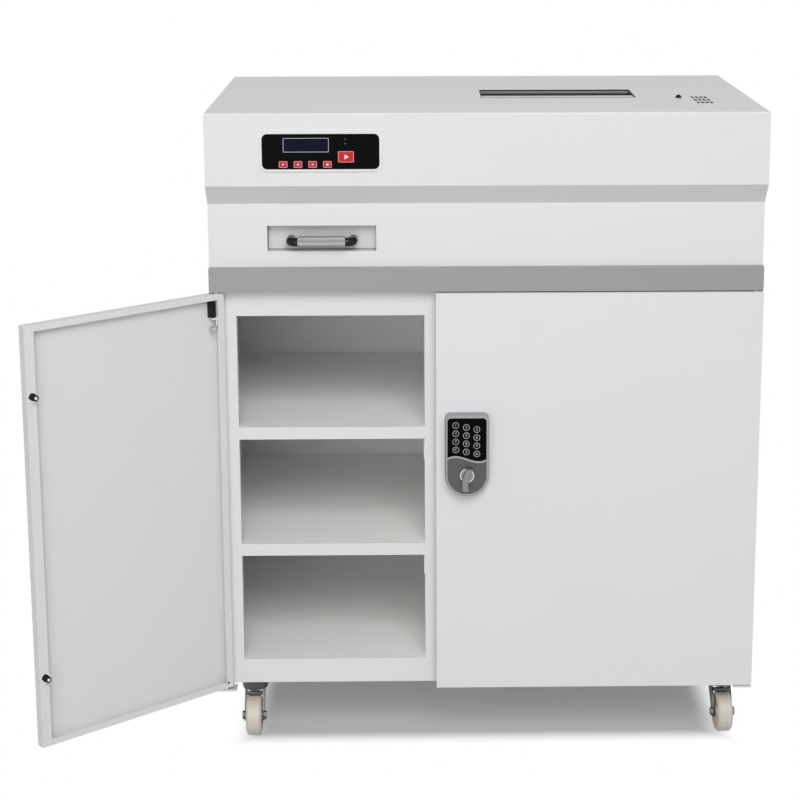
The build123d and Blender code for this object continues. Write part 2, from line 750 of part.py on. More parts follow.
with BuildPart() as bin_floor:
    with BuildSketch(Plane.XY.offset(z_bin)):
        rect(x_bin_inside, y_bin_inside)
    extrude(amount=SHEET)

with BuildPart() as bin_sides:
    with BuildSketch(facing(y_bin[1])):
        rect((x_bin[0], x_bin_inside[0]), (z_bin, z_rim + SHEET))
        rect((x_bin[0] - BIN_RIM, x_bin[0]), (z_rim, z_rim + SHEET))
        rect((x_bin_inside[1], x_bin[1]), (z_bin, z_rim + SHEET))
        rect((x_bin[1], x_bin[1] + BIN_RIM), (z_rim, z_rim + SHEET))
    extrude(amount=y_bin[1] - y_bin[0])

with BuildPart() as bin_front:
    with BuildSketch(facing(y_bin_inside[0])):
        rect(x_bin_inside, (z_bin, z_rim + SHEET))
    extrude(amount=SHEET)

with BuildPart() as bin_back:
    with BuildSketch(facing(y_bin[1])):
        rect(x_bin_inside, (z_bin, z_rim + SHEET))
    extrude(amount=SHEET)
    with BuildSketch(Plane.XY.offset(z_rim)):
        rect(x_bin_inside, (y_bin[1], y_bin[1] + BIN_RIM))
    extrude(amount=SHEET)
save_welded((bin_floor, bin_sides, bin_front, bin_back), "waste_box")

with BuildPart() as waste_runners:
    with BuildSketch(Plane.XZ.offset(-y_bin[1])):
        for edge, side in ((x_bin[0], -1), (x_bin[1], 1)):
            outer = edge + side * (RUNNER_PLATE + SLIDE_GAP)
            rect(sorted((edge - side * RUNNER_WIDTH, outer)), (z_floor, z_bin))
            rect(sorted((edge + side * SLIDE_GAP, outer)), (z_floor, z_floor + RUNNER_GUIDE))
    extrude(amount=y_bin[1] - y_bin[0])
save(waste_runners, "waste_runners")


def bow_handle(x_mid, y_seat, z_mid, span, standoff, radius, bend):
    """Round bar bent into a bow, with both feet on a face that looks to the front."""
    with BuildPart() as bow:
        with BuildLine() as route:
            FilletPolyline(
                (x_mid - span / 2, y_seat, z_mid),
                (x_mid - span / 2, y_seat - standoff, z_mid),
                (x_mid + span / 2, y_seat - standoff, z_mid),
                (x_mid + span / 2, y_seat, z_mid),
                radius=bend,
            )
        with BuildSketch(Plane(origin=route.line @ 0, z_dir=route.line % 0)):
            Circle(radius)
        sweep()
    return bow


x_bin_mid = (x_bin[0] + x_bin[1]) / 2
save(
    bow_handle(
        x_bin_mid,
        y_bin[0],
        z_bin + bin_height - BIN_HANDLE_DROP,
        BIN_HANDLE_SPAN,
        BIN_HANDLE_REACH,
        BIN_HANDLE_RADIUS,
        2 * BIN_HANDLE_RADIUS,
    ),
    "waste_box_handle",
)

# Control panel
with BuildPart() as panel_bezel:
    with BuildSketch(facing(y_head)):
        panel_outline(0.0)
    extrude(amount=BEZEL_PROUD)
    with BuildSketch(facing(y_head)):
        panel_outline(BEZEL_OVERLAP)
    extrude(amount=-BEZEL_FLANGE)
    with BuildSketch(facing(y_head - BEZEL_PROUD)):
        panel_outline(PANEL_RIM)
    extrude(amount=-FACE_SUNK - FACE_PLATE, mode=Mode.SUBTRACT)
    with BuildSketch(facing(y_head - BEZEL_PROUD)):
        with Locations((x_panel, z_panel)):
            Rectangle(PANEL_WIDTH - 2 * PANEL_LEDGE, PANEL_HEIGHT - 2 * PANEL_RIM)
    extrude(amount=-BEZEL_PROUD - BEZEL_FLANGE, mode=Mode.SUBTRACT)
save(panel_bezel, "panel_bezel")

x_display = x_panel + DISPLAY_X
z_display = z_panel + DISPLAY_Z
x_start = x_panel + START_X
z_start = z_panel + START_Z
key_places = [(x_panel + KEY_FIRST_X + index * KEY_PITCH, z_panel + KEY_Z) for index in range(4)]
y_face = y_head - BEZEL_PROUD + FACE_SUNK

with BuildPart() as panel_face:
    with BuildSketch(facing(y_face)):
        panel_outline(PANEL_RIM)
        with Locations((x_display, z_display)):
            Rectangle(DISPLAY_WIDTH, DISPLAY_HEIGHT, mode=Mode.SUBTRACT)
        with Locations(*key_places):
            Rectangle(KEY_WIDTH + 2 * KEY_GAP, KEY_HEIGHT + 2 * KEY_GAP, mode=Mode.SUBTRACT)
        with Locations((x_start, z_start)):
            Rectangle(START_WIDTH + 2 * KEY_GAP, START_HEIGHT + 2 * KEY_GAP, mode=Mode.SUBTRACT)
    extrude(amount=-FACE_PLATE)
save(panel_face, "panel_face")

y_board = y_face + FACE_PLATE + BOARD_GAP
with BuildPart() as display:
    with BuildSketch(facing(y_face + DISPLAY_SUNK)):
        with Locations((x_display, z_display)):
            Rectangle(DISPLAY_WIDTH, DISPLAY_HEIGHT)
    extrude(amount=-(y_board - y_face - DISPLAY_SUNK))
save(display, "display")

with BuildPart() as control_board:
    with BuildSketch(facing(y_board)):
        with Locations((x_panel, z_panel)):
            margin = 2 * BOARD_MARGIN
            Rectangle(PANEL_WIDTH - 2 * PANEL_LEDGE - margin, PANEL_HEIGHT - 2 * PANEL_RIM - margin)
    extrude(amount=-BOARD_PLATE)
save(control_board, "control_board")


def key_cap(place, width, height):
    """One key: a cap in its hole, with a wider skirt behind the face."""
    with BuildPart() as cap:
        with BuildSketch(facing(y_face + KEY_BODY)):
            with Locations(place):
                Rectangle(width, height)
        extrude(amount=KEY_BODY + KEY_PROUD)
        front_edges = faces().sort_by(Axis.Y)[0].edges()
        chamfer(front_edges, length=KEY_GAP)
        with BuildSketch(facing(y_face + FACE_PLATE + KEY_GAP)):
            with Locations(place):
                Rectangle(width + 4 * KEY_GAP, height)
        extrude(amount=-KEY_TRAVEL)
    return cap


for index, place in enumerate(key_places):
    save(key_cap(place, KEY_WIDTH, KEY_HEIGHT), f"mode_key_{index + 1}")
save(key_cap((x_start, z_start), START_WIDTH, START_HEIGHT), "start_key")

# Drawer, sliding in a sleeve behind its opening in the lower head
y_plate = y_lower + DRAWER_SUNK
y_sleeve_back = y_rear_shaft - COWL_RADIUS - DRAWER_BACK_GAP
drawer_depth = y_sleeve_back - SHEET - SLIDE_GAP - y_plate

with BuildPart() as drawer_sleeve:
    with BuildSketch(facing(y_lower + SHEET)):
        with Locations((x_drawer, z_drawer)):
            Rectangle(DRAWER_WIDTH + 2 * SHEET, DRAWER_HEIGHT + 2 * SHEET)
    extrude(amount=-(y_sleeve_back - y_lower - SHEET))
    offset(amount=-SHEET, openings=faces().sort_by(Axis.Y)[0])
save(drawer_sleeve, "drawer_sleeve")

with BuildPart() as drawer_tray:
    with BuildSketch(facing(y_plate)):
        with Locations((x_drawer, z_drawer)):
            Rectangle(DRAWER_WIDTH - 2 * SLIDE_GAP, DRAWER_HEIGHT - 2 * SLIDE_GAP)
    extrude(amount=-drawer_depth)
    offset(amount=-DRAWER_WALL, openings=faces().sort_by(Axis.Z)[-1])
save(drawer_tray, "drawer_tray")

z_handle = z_drawer - HANDLE_DROP
save(
    bow_handle(x_drawer, y_plate, z_handle, HANDLE_SPAN, HANDLE_STANDOFF, HANDLE_RADIUS, HANDLE_BEND),
    "drawer_handle",
)

with BuildPart() as drawer_grip:
    x_grip = x_drawer - GRIP_LENGTH / 2
    with BuildSketch(across(x_grip, y_plate - HANDLE_STANDOFF, z_handle)):
        Circle(GRIP_RADIUS)
    extrude(amount=GRIP_LENGTH)
    grip_edges = edges().filter_by(GeomType.CIRCLE)
    chamfer(grip_edges, length=GRIP_EDGE)
    with BuildSketch(across(x_grip, y_plate - HANDLE_STANDOFF, z_handle)):
        Circle(HANDLE_RADIUS + PRESS_FIT)
    extrude(amount=GRIP_LENGTH, mode=Mode.SUBTRACT)
save(drawer_grip, "drawer_grip")

# Overload reset button, with a collar under the sheet that keeps it in
with BuildPart() as reset_button:
    z_collar = z_top - SHEET - KEY_GAP
    with BuildSketch(Plane.XY.offset(z_collar)):
        with Locations((x_reset, RESET_Y)):
            Circle(RESET_RADIUS + RESET_COLLAR)
    extrude(amount=-RESET_COLLAR_DEPTH)
    with BuildSketch(Plane.XY.offset(z_collar)):
        with Locations((x_reset, RESET_Y)):
            Circle(RESET_RADIUS)
    extrude(amount=z_top + RESET_PROUD + RESET_DOME - z_collar)
    crown_edge = edges().sort_by(Axis.Z)[-1]
    chamfer(crown_edge, length=RESET_DOME)
save(reset_button, "reset_button")


# Doors: pans with return lips, hung on vertical pivots
def door_pan(plane, width, inward):
    """Door pan on a plane through its pivot foot, with X along the door.

    inward is +1 or -1: the side of the plane's Y axis on which the inner face lies.
    """
    along = (-PIVOT_INSET, width - PIVOT_INSET)
    outer = -inward * PIVOT_DEPTH
    inner = inward * (DOOR_THICKNESS - PIVOT_DEPTH)
    with BuildPart() as pan:
        with BuildSketch(plane):
            rect(along, sorted((outer, inner)))
        extrude(amount=door_height)
        with BuildSketch(plane.offset(SHEET)):
            hollow = sorted((outer + inward * SHEET, inner - inward * SHEET))
            rect((along[0] + SHEET, along[1] - SHEET), hollow)
        extrude(amount=door_height - 2 * SHEET, mode=Mode.SUBTRACT)
        with BuildSketch(plane.offset(DOOR_END_LIP)):
            open_back = sorted((inner - inward * SHEET, inner))
            rect((along[0] + DOOR_HINGE_LIP, along[1] - DOOR_SIDE_LIP), open_back)
        extrude(amount=door_height - 2 * DOOR_END_LIP, mode=Mode.SUBTRACT)
        with BuildSketch(plane):
            Circle(PIVOT_RADIUS + RUNNING_FIT)
        extrude(amount=door_height, mode=Mode.SUBTRACT)
    return pan


left_width = x_meeting - DOOR_MEETING_GAP / 2 + x_side
right_width = x_side - x_meeting - DOOR_MEETING_GAP / 2
swing = radians(LEFT_DOOR_OPEN)
left_plane = Plane(origin=(-x_pivot, y_pivot, z_door), x_dir=(cos(swing), -sin(swing), 0), z_dir=(0, 0, 1))
right_plane = Plane(origin=(x_pivot, y_pivot, z_door), x_dir=(-1, 0, 0), z_dir=(0, 0, 1))
skin = SHEET - PIVOT_DEPTH
lip_back = DOOR_THICKNESS - PIVOT_DEPTH - SHEET

with BuildPart() as left_door:
    add(door_pan(left_plane, left_width, 1))
    with BuildSketch(left_plane.offset(door_height - BOLT_GUIDE_DROP)):
        rect((SHEET - PIVOT_INSET, PIVOT_INSET - SHEET), (skin, lip_back))
        Circle(PIVOT_RADIUS + RUNNING_FIT, mode=Mode.SUBTRACT)
    extrude(amount=BOLT_COLLAR)
save(left_door, "left_door")

with BuildPart() as pivot_bolt:
    tail = door_height - BOLT_GUIDE_DROP - BOLT_TAIL
    tip = door_height + DOOR_HEAD_GAP + BOLT_TIP
    with BuildSketch(left_plane.offset(tail)):
        Circle(PIVOT_RADIUS)
    extrude(amount=tip - tail)
    with BuildSketch(left_plane.offset(door_height - SHEET - KEY_GAP)):
        Circle(BOLT_COLLAR_RADIUS)
    extrude(amount=-BOLT_COLLAR)
    with BuildSketch(left_plane.offset(tail)):
        rect((0, BOLT_LEVER_REACH), (-PIVOT_RADIUS, PIVOT_RADIUS))
        rect((BOLT_LEVER_REACH - BOLT_LEVER, BOLT_LEVER_REACH), (-PIVOT_RADIUS, BOLT_LEVER_RISE))
    extrude(amount=BOLT_LEVER)
save(pivot_bolt, "pivot_bolt")

with BuildPart() as door_buffers:
    buffer_place = left_width - PIVOT_INSET - BUFFER_FROM_EDGE
    for level in (BUFFER_FROM_FOOT, door_height - BUFFER_FROM_TOP):
        buffer_foot = Plane(
            origin=left_plane.from_local_coords((buffer_place, DOOR_THICKNESS - PIVOT_DEPTH, level)),
            x_dir=left_plane.x_dir,
            z_dir=left_plane.y_dir,
        )
        with BuildSketch(buffer_foot):
            Circle(BUFFER_RADIUS)
        extrude(amount=DOOR_CLEARANCE - BUFFER_GAP, taper=BUFFER_TAPER)
save(door_buffers, "door_buffers")

with BuildPart() as right_door:
    add(door_pan(right_plane, right_width, -1))
    with BuildSketch(facing(y_door)):
        with Locations((x_lock, z_knob)):
            Circle(SPINDLE_RADIUS + SHEET + PRESS_FIT)
    extrude(amount=-SHEET, mode=Mode.SUBTRACT)
save(right_door, "right_door")

with BuildPart() as hinge_brackets:
    with BuildSketch(Plane.YZ.offset(-x_side)):
        grip = y_frame + SHEET
        rect((grip, grip + BRACKET_GRIP), (z_base - BRACKET_PLATE, z_base))
        rect((y_door + SHEET, grip + BRACKET_PLATE), (z_base - 2 * BRACKET_PLATE, z_base - BRACKET_PLATE))
    extrude(amount=BRACKET_WIDTH)
    with BuildSketch(Plane.XY.offset(z_base - 2 * BRACKET_PLATE)):
        with Locations((-x_pivot, y_pivot)):
            Circle(PIVOT_RADIUS + PRESS_FIT)
    extrude(amount=BRACKET_PLATE, mode=Mode.SUBTRACT)
    mirror(about=Plane.YZ)
save(hinge_brackets, "hinge_brackets")

with BuildPart() as hinge_pins:
    for x_pin in (-x_pivot, x_pivot):
        foot = Plane.XY.offset(z_base - 2 * BRACKET_PLATE)
        with BuildSketch(foot):
            with Locations((x_pin, y_pivot)):
                Circle(PIVOT_RADIUS)
        extrude(amount=z_door + PIVOT_ENTRY - z_base + 2 * BRACKET_PLATE)
        with BuildSketch(Plane.XY.offset(z_base - BRACKET_PLATE)):
            with Locations((x_pin, y_pivot)):
                Circle(2 * PIVOT_RADIUS)
        extrude(amount=DOOR_FOOT_GAP - KEY_GAP)
    with BuildSketch(Plane.XY.offset(z_band + SHEET)):
        with Locations((x_pivot, y_pivot)):
            Circle(PIVOT_RADIUS)
    extrude(amount=-(SHEET + DOOR_HEAD_GAP + PIVOT_ENTRY))
save(hinge_pins, "hinge_pins")

# Keypad lock
y_lock = y_door - LOCK_DEPTH


def lock_outline(inset):
    """Lock outline: small corners on top, a half round at the foot."""
    half = LOCK_WIDTH / 2 - inset
    foot = LOCK_WIDTH / 2
    top = LOCK_HEIGHT - inset
    corner = LOCK_TOP_CORNER - inset / 2
    with BuildSketch() as outline:
        with BuildLine():
            Line((-half, foot), (-half, top - corner))
            RadiusArc((-half, top - corner), (-half + corner, top), corner)
            Line((-half + corner, top), (half - corner, top))
            RadiusArc((half - corner, top), (half, top - corner), corner)
            Line((half, top - corner), (half, foot))
            ThreePointArc((half, foot), (0, foot - half), (-half, foot))
        make_face()
    return outline.sketch


def lock_field(side, inset):
    """Field above (+1) or below (-1) the wave-shaped rib across the lock."""
    half = LOCK_WIDTH / 2
    lift = LOCK_WAVE_HEIGHT + side * (LOCK_WAVE_RIB / 2 + inset)
    far = LOCK_HEIGHT if side > 0 else -LOCK_RIM
    with BuildSketch() as field:
        with BuildLine():
            wave = Spline(
                (-half, lift - LOCK_WAVE_RISE / 2),
                (-LOCK_WAVE_REACH, lift + LOCK_WAVE_RISE),
                (LOCK_WAVE_REACH, lift - LOCK_WAVE_RISE),
                (half, lift + LOCK_WAVE_RISE / 2),
            )
            Polyline(wave @ 1, (half, far), (-half, far), wave @ 0)
        make_face()
        add(lock_outline(LOCK_RIM + inset), mode=Mode.INTERSECT)
    return field.sketch


lock_plane = Plane(origin=(x_lock, y_door, z_lock), x_dir=(1, 0, 0), z_dir=(0, -1, 0))

with BuildPart() as lock_housing:
    with BuildSketch(lock_plane):
        add(lock_outline(0.0))
    extrude(amount=LOCK_DEPTH)
    front_rim = faces().sort_by(Axis.Y)[0].edges()
    chamfer(front_rim, length=LOCK_RIM / 2)
    for side in (1, -1):
        with BuildSketch(lock_plane.offset(LOCK_DEPTH)):
            add(lock_field(side, 0.0))
        extrude(amount=-LOCK_RECESS, mode=Mode.SUBTRACT)
    with BuildSketch(lock_plane):
        with Locations((0, KNOB_HEIGHT)):
            Circle(SPINDLE_RADIUS + SHEET)
    extrude(amount=-(DOOR_THICKNESS - 2 * SHEET))
    with BuildSketch(lock_plane.offset(LOCK_DEPTH)):
        with Locations((0, KNOB_HEIGHT)):
            Circle(SPINDLE_RADIUS + RUNNING_FIT)
    extrude(amount=-(LOCK_DEPTH + DOOR_THICKNESS), mode=Mode.SUBTRACT)
save(lock_housing, "lock_housing")

with BuildPart() as lock_keypad:
    with BuildSketch(lock_plane.offset(LOCK_DEPTH - LOCK_RECESS)):
        add(lock_field(1, PRESS_FIT))
    extrude(amount=LOCK_RECESS - FACE_SUNK)
save(lock_keypad, "lock_keypad")

with BuildPart() as lock_cover:
    with BuildSketch(lock_plane.offset(LOCK_DEPTH - LOCK_RECESS)):
        add(lock_field(-1, PRESS_FIT))
        with Locations((0, KNOB_HEIGHT)):
            Circle(SPINDLE_RADIUS + RUNNING_FIT, mode=Mode.SUBTRACT)
    extrude(amount=LOCK_RECESS)
save(lock_cover, "lock_cover")

with BuildPart() as lock_knob:
    knob_plane = Plane(origin=(x_lock, y_lock - KEY_GAP, z_knob), x_dir=(1, 0, 0), z_dir=(0, -1, 0))
    with BuildSketch(knob_plane):
        Circle(KNOB_RADIUS)
    extrude(amount=KNOB_BOSS)
    with BuildSketch(knob_plane.offset(KNOB_BOSS)):
        with BuildLine():
            flanks = []
            for half in (-LEVER_WIDTH / 2, LEVER_WIDTH / 2):
                flank = Spline(
                    (half + LEVER_SWAY, LEVER_ABOVE),
                    (half, LEVER_ABOVE / 4),
                    (half - LEVER_SWAY, -LEVER_BELOW / 2),
                    (half - LEVER_SWAY / 2, -LEVER_BELOW),
                )
                flanks.append(flank)
            Line(flanks[0] @ 0, flanks[1] @ 0)
            Line(flanks[0] @ 1, flanks[1] @ 1)
        make_face()
    extrude(amount=LEVER_DEPTH)
    lever_front = faces().sort_by(Axis.Y)[0].edges()
    chamfer(lever_front, length=LEVER_EDGE)
    with BuildSketch(knob_plane):
        Circle(SPINDLE_RADIUS)
    extrude(amount=-(y_cam + CAM_PLATE - y_lock + KEY_GAP))
save(lock_knob, "lock_knob")

with BuildPart() as lock_cam:
    with BuildSketch(facing(y_cam)):
        with Locations((x_lock, z_knob)):
            Circle(CAM_WIDTH / 2)
        rect((x_lock - CAM_WIDTH / 2, x_lock + CAM_WIDTH / 2), (z_knob - CAM_REACH, z_knob))
        with Locations((x_lock, z_knob)):
            Circle(SPINDLE_RADIUS + PRESS_FIT, mode=Mode.SUBTRACT)
    extrude(amount=-CAM_PLATE)
save(lock_cam, "lock_cam")

# Castors: top plates with their raceways and kingpins, swivelling forks, wheels
x_castor_left = CASTOR_INSET_LEFT - x_side
x_castor_right = x_side - CASTOR_INSET_RIGHT
castor_places = {
    "front_left": (x_castor_left, y_frame + CASTOR_FROM_FRAME),
    "front_right": (x_castor_right, y_frame + CASTOR_FROM_FRAME),
    "rear_left": (x_castor_left, y_back - CASTOR_FROM_BACK),
    "rear_right": (x_castor_right, y_back - CASTOR_FROM_BACK),
}
z_raceway = z_base - CASTOR_PLATE - RACEWAY_HEIGHT
z_crown_top = z_raceway - SWIVEL_GAP
z_crown = z_crown_top - CROWN_PLATE
z_kingpin = z_crown - SWIVEL_GAP - KINGPIN_HEAD
fork_inside = WHEEL_WIDTH / 2 + WHEEL_GAP
fork_outside = fork_inside + FORK_PLATE

with BuildPart() as castor_plates:
    for place in castor_places.values():
        with BuildSketch(Plane.XY.offset(z_base)):
            with Locations(place):
                RectangleRounded(CASTOR_PLATE_X, CASTOR_PLATE_Y, CASTOR_CORNER)
        extrude(amount=-CASTOR_PLATE)
        for foot, radius in (
            (z_raceway, RACEWAY_RADIUS),
            (z_kingpin, KINGPIN_RADIUS),
        ):
            with BuildSketch(Plane.XY.offset(foot)):
                with Locations(place):
                    Circle(radius)
            extrude(amount=z_base - foot)
        with BuildSketch(Plane.XY.offset(z_kingpin)):
            with Locations(place):
                Circle(KINGPIN_HEAD_RADIUS)
        extrude(amount=KINGPIN_HEAD)
save(castor_plates, "castor_plates")


def castor_frame(corner):
    """Direction in which the castor trails, and the direction of its axle."""
    turn = radians(CASTOR_ANGLES[corner])
    trail = Vector(sin(turn), -cos(turn), 0)
    axle = Vector(cos(turn), sin(turn), 0)
    return trail, axle


def castor_side(corner, offset_along):
    """Plane across the axle: X along the trail, Y up, origin on the floor under the kingpin."""
    trail, axle = castor_frame(corner)
    x_place, y_place = castor_places[corner]
    origin = Vector(x_place, y_place, 0) + axle * offset_along
    return Plane(origin=origin, x_dir=trail, z_dir=trail.cross(Vector(0, 0, 1)))


for corner in castor_places:
    axle_height = WHEEL_RADIUS
    with BuildPart() as castor_fork:
        with BuildSketch(Plane.XY.offset(z_crown)):
            with Locations(castor_places[corner]):
                Circle(CROWN_RADIUS)
                Circle(KINGPIN_RADIUS + RUNNING_FIT, mode=Mode.SUBTRACT)
        extrude(amount=CROWN_PLATE)
        for start in (fork_inside, -fork_outside):
            with BuildSketch(castor_side(corner, -start)):
                with BuildLine():
                    Polyline(
                        (-CROWN_RADIUS / 2, z_crown_top),
                        (CROWN_RADIUS / 2, z_crown_top),
                        (CASTOR_TRAIL + FORK_BOSS, axle_height),
                        (CASTOR_TRAIL, axle_height - FORK_BOSS),
                        (CASTOR_TRAIL - FORK_BOSS, axle_height),
                        (-CROWN_RADIUS / 2, z_crown - FORK_BOSS),
                        close=True,
                    )
                make_face()
                with Locations((CASTOR_TRAIL, axle_height)):
                    Circle(FORK_BOSS)
                with Locations((CASTOR_TRAIL, axle_height)):
                    Circle(AXLE_RADIUS + PRESS_FIT, mode=Mode.SUBTRACT)
            extrude(amount=FORK_PLATE)
        with BuildSketch(castor_side(corner, fork_outside + AXLE_HEAD)):
            with Locations((CASTOR_TRAIL, axle_height)):
                Circle(AXLE_RADIUS)
        extrude(amount=2 * (fork_outside + AXLE_HEAD))
        for start in (fork_outside + PRESS_FIT, -fork_outside - PRESS_FIT - AXLE_HEAD):
            with BuildSketch(castor_side(corner, -start)):
                with Locations((CASTOR_TRAIL, axle_height)):
                    RegularPolygon(AXLE_HEAD_RADIUS, 6)
            extrude(amount=AXLE_HEAD)
    save(castor_fork, f"castor_fork_{corner}")

    with BuildPart() as castor_wheel:
        hub_plane = castor_side(corner, WHEEL_WIDTH / 2)
        with BuildSketch(hub_plane):
            with Locations((CASTOR_TRAIL, axle_height)):
                Circle(WHEEL_RADIUS)
        extrude(amount=WHEEL_WIDTH)
        tread_edges = edges().filter_by(GeomType.CIRCLE)
        chamfer(tread_edges, length=WHEEL_EDGE)
        for face_plane, inward in ((hub_plane, 1), (hub_plane.offset(WHEEL_WIDTH), -1)):
            with BuildSketch(face_plane):
                with Locations((CASTOR_TRAIL, axle_height)):
                    Circle(WHEEL_RADIUS - WHEEL_RIM)
                    Circle(WHEEL_HUB, mode=Mode.SUBTRACT)
            extrude(amount=inward * WHEEL_RECESS, mode=Mode.SUBTRACT)
        with BuildSketch(hub_plane):
            with Locations((CASTOR_TRAIL, axle_height)):
                Circle(AXLE_RADIUS + RUNNING_FIT)
        extrude(amount=WHEEL_WIDTH, mode=Mode.SUBTRACT)
    save(castor_wheel, f"castor_wheel_{corner}")

# Power inlet: a flanged socket in the back of the head, with three contact pins
with BuildPart() as power_inlet:
    inlet_plane = Plane(origin=(x_inlet, y_back, z_inlet), x_dir=(-1, 0, 0), z_dir=(0, 1, 0))
    with BuildSketch(inlet_plane):
        RectangleRounded(INLET_WIDTH, INLET_HEIGHT, INLET_WALL)
    extrude(amount=INLET_FLANGE)
    with BuildSketch(inlet_plane):
        body_gap = 2 * PRESS_FIT
        Rectangle(INLET_BODY_WIDTH - body_gap, INLET_BODY_HEIGHT - body_gap)
    extrude(amount=-INLET_DEPTH)
    with BuildSketch(inlet_plane.offset(INLET_FLANGE)):
        Rectangle(INLET_BODY_WIDTH - 2 * INLET_WALL, INLET_BODY_HEIGHT - 2 * INLET_WALL)
    extrude(amount=-(INLET_FLANGE + INLET_DEPTH - INLET_WALL), mode=Mode.SUBTRACT)
    with BuildSketch(inlet_plane.offset(INLET_WALL - INLET_DEPTH)):
        for x_pin, z_pin in (
            (-INLET_PIN_SPREAD, -INLET_PIN_DROP),
            (0, INLET_PIN_RISE),
            (INLET_PIN_SPREAD, -INLET_PIN_DROP),
        ):
            with Locations((x_pin, z_pin)):
                Rectangle(INLET_PIN, 2 * INLET_PIN)
    extrude(amount=INLET_DEPTH - 2 * INLET_WALL)
save(power_inlet, "power_inlet")
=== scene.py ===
"""Finishes, small trim, studio light and camera for the high-security shredder."""

from __future__ import annotations

import json
import logging
import math
from collections.abc import Callable, Iterator
from contextlib import contextmanager
from dataclasses import dataclass
from enum import Enum
from functools import cache
from itertools import product

import bpy
from mathutils import Matrix, Vector


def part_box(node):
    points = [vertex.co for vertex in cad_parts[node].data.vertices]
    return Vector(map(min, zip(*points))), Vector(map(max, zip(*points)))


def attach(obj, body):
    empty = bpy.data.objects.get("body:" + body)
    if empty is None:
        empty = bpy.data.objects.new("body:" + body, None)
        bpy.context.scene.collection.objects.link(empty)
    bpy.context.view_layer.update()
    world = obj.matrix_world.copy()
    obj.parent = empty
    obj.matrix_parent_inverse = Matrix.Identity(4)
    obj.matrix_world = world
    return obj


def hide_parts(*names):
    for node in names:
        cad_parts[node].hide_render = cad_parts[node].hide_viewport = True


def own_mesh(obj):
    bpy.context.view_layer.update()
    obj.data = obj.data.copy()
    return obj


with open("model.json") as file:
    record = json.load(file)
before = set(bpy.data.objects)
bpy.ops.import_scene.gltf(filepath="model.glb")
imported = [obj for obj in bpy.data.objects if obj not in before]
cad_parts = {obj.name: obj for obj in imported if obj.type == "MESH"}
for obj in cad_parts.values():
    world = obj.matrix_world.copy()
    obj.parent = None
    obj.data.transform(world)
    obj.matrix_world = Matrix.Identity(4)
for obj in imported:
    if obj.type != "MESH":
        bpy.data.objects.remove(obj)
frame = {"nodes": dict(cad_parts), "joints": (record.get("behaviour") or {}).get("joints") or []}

LOG = logging.getLogger("shredder")
MM = 0.001
Point = tuple[float, float, float]
Colour = tuple[float, float, float]
Pair = tuple[float, float]
Piece = bpy.types.Object
Material = bpy.types.Material
Tree = bpy.types.NodeTree
Socket = bpy.types.NodeSocket
Outputs = bpy.types.NodeOutputs
Feed = Socket | float | tuple[float, ...]
CASTORS = tuple(f"{end}_{side}" for end in ("front", "rear") for side in ("left", "right"))
SMOOTH_ANGLE = 35.0
ROUND_SMOOTH_ANGLE = 60.0
SAME_POINT = 1e-6


class Body(str, Enum):
    """Bodies of the frame that new pieces ride on."""

    CABINET = "cabinet"
    LEFT_DOOR = "left_door"
    RIGHT_DOOR = "right_door"
    LOCK_KNOB = "lock_knob"
    DRAWER = "drawer"


class Slot(str, Enum):
    """Material slots of the record; the new pieces take their finish from the Finish constants instead.
    """

    ZINC = "zinc"
    LOCK = "lock_zinc"
    FORK = "fork_dark"
    LIGHT = "bezel_white"
    BLACK = "panel_black"
    PLASTIC = "black_plastic"


class Element(Enum):
    """Kinds of mesh element that a step picks, by their collection in the mesh."""

    FACE = "polygons"
    EDGE = "edges"


class Facing(Enum):
    """Direction in which a small piece stands out of its seat, as tilt and spin in degrees."""

    FRONT = (90.0, 0.0)
    BACK = (90.0, 180.0)
    DOWN = (180.0, 0.0)

    def turn(self) -> Matrix:
        """Rotation that takes +Z to this direction, with X kept level."""
        tilt, spin = (math.radians(angle) for angle in self.value)
        return Matrix.Rotation(spin, 4, "Z") @ Matrix.Rotation(tilt, 4, "X")


class Graph:
    """Shader nodes of a material, a group or the world, each made and fed in one step."""

    MIX_COLOURS = (6, 7)
    MIX_COLOUR_RESULT = 2
    MIX_VALUES = (2, 3)

    def __init__(self, tree: Tree) -> None:
        """Take the tree that the nodes go into."""
        self.tree = tree

    def feed(self, node: bpy.types.Node, feeds: dict[str | int, Feed]) -> None:
        """Feed inputs of a node.

        Args:
            node: The node.
            feeds: Name or number of an input to the socket or the value that feeds it.
        """
        for label, feed in feeds.items():
            if isinstance(feed, Socket):
                self.tree.links.new(feed, node.inputs[label])
            else:
                node.inputs[label].default_value = feed

    def node(self, kind: str, feeds: dict[str | int, Feed], **settings: object) -> bpy.types.Node:
        """Add a node, set its properties and feed its inputs.

        Args:
            kind: Type of the node, without its ShaderNode prefix.
            feeds: Name or number of an input to the socket or the value that feeds it.
            settings: Name of a property to its value.

        Returns:
            The node.
        """
        node = self.tree.nodes.new(f"ShaderNode{kind}")
        for label, value in settings.items():
            setattr(node, label, value)
        self.feed(node, feeds)
        return node

    def calc(self, operation: str, first: Feed, second: Feed) -> Socket:
        """Result of a math operation on two sockets or values."""
        return self.node("Math", {0: first, 1: second}, operation=operation).outputs[0]

    def mix(self, share: Feed, colours: tuple[Feed, Feed], **settings: object) -> Socket:
        """Colour that goes from the first to the second of two colours with the share."""
        feeds = {"Factor": share, **dict(zip(self.MIX_COLOURS, colours))}
        return self.node("Mix", feeds, data_type="RGBA", **settings).outputs[self.MIX_COLOUR_RESULT]

    def mix_values(self, share: Feed, values: tuple[Feed, Feed]) -> Socket:
        """Number that goes from the first to the second of two numbers with the share."""
        return self.node("Mix", {"Factor": share, **dict(zip(self.MIX_VALUES, values))}).outputs[0]


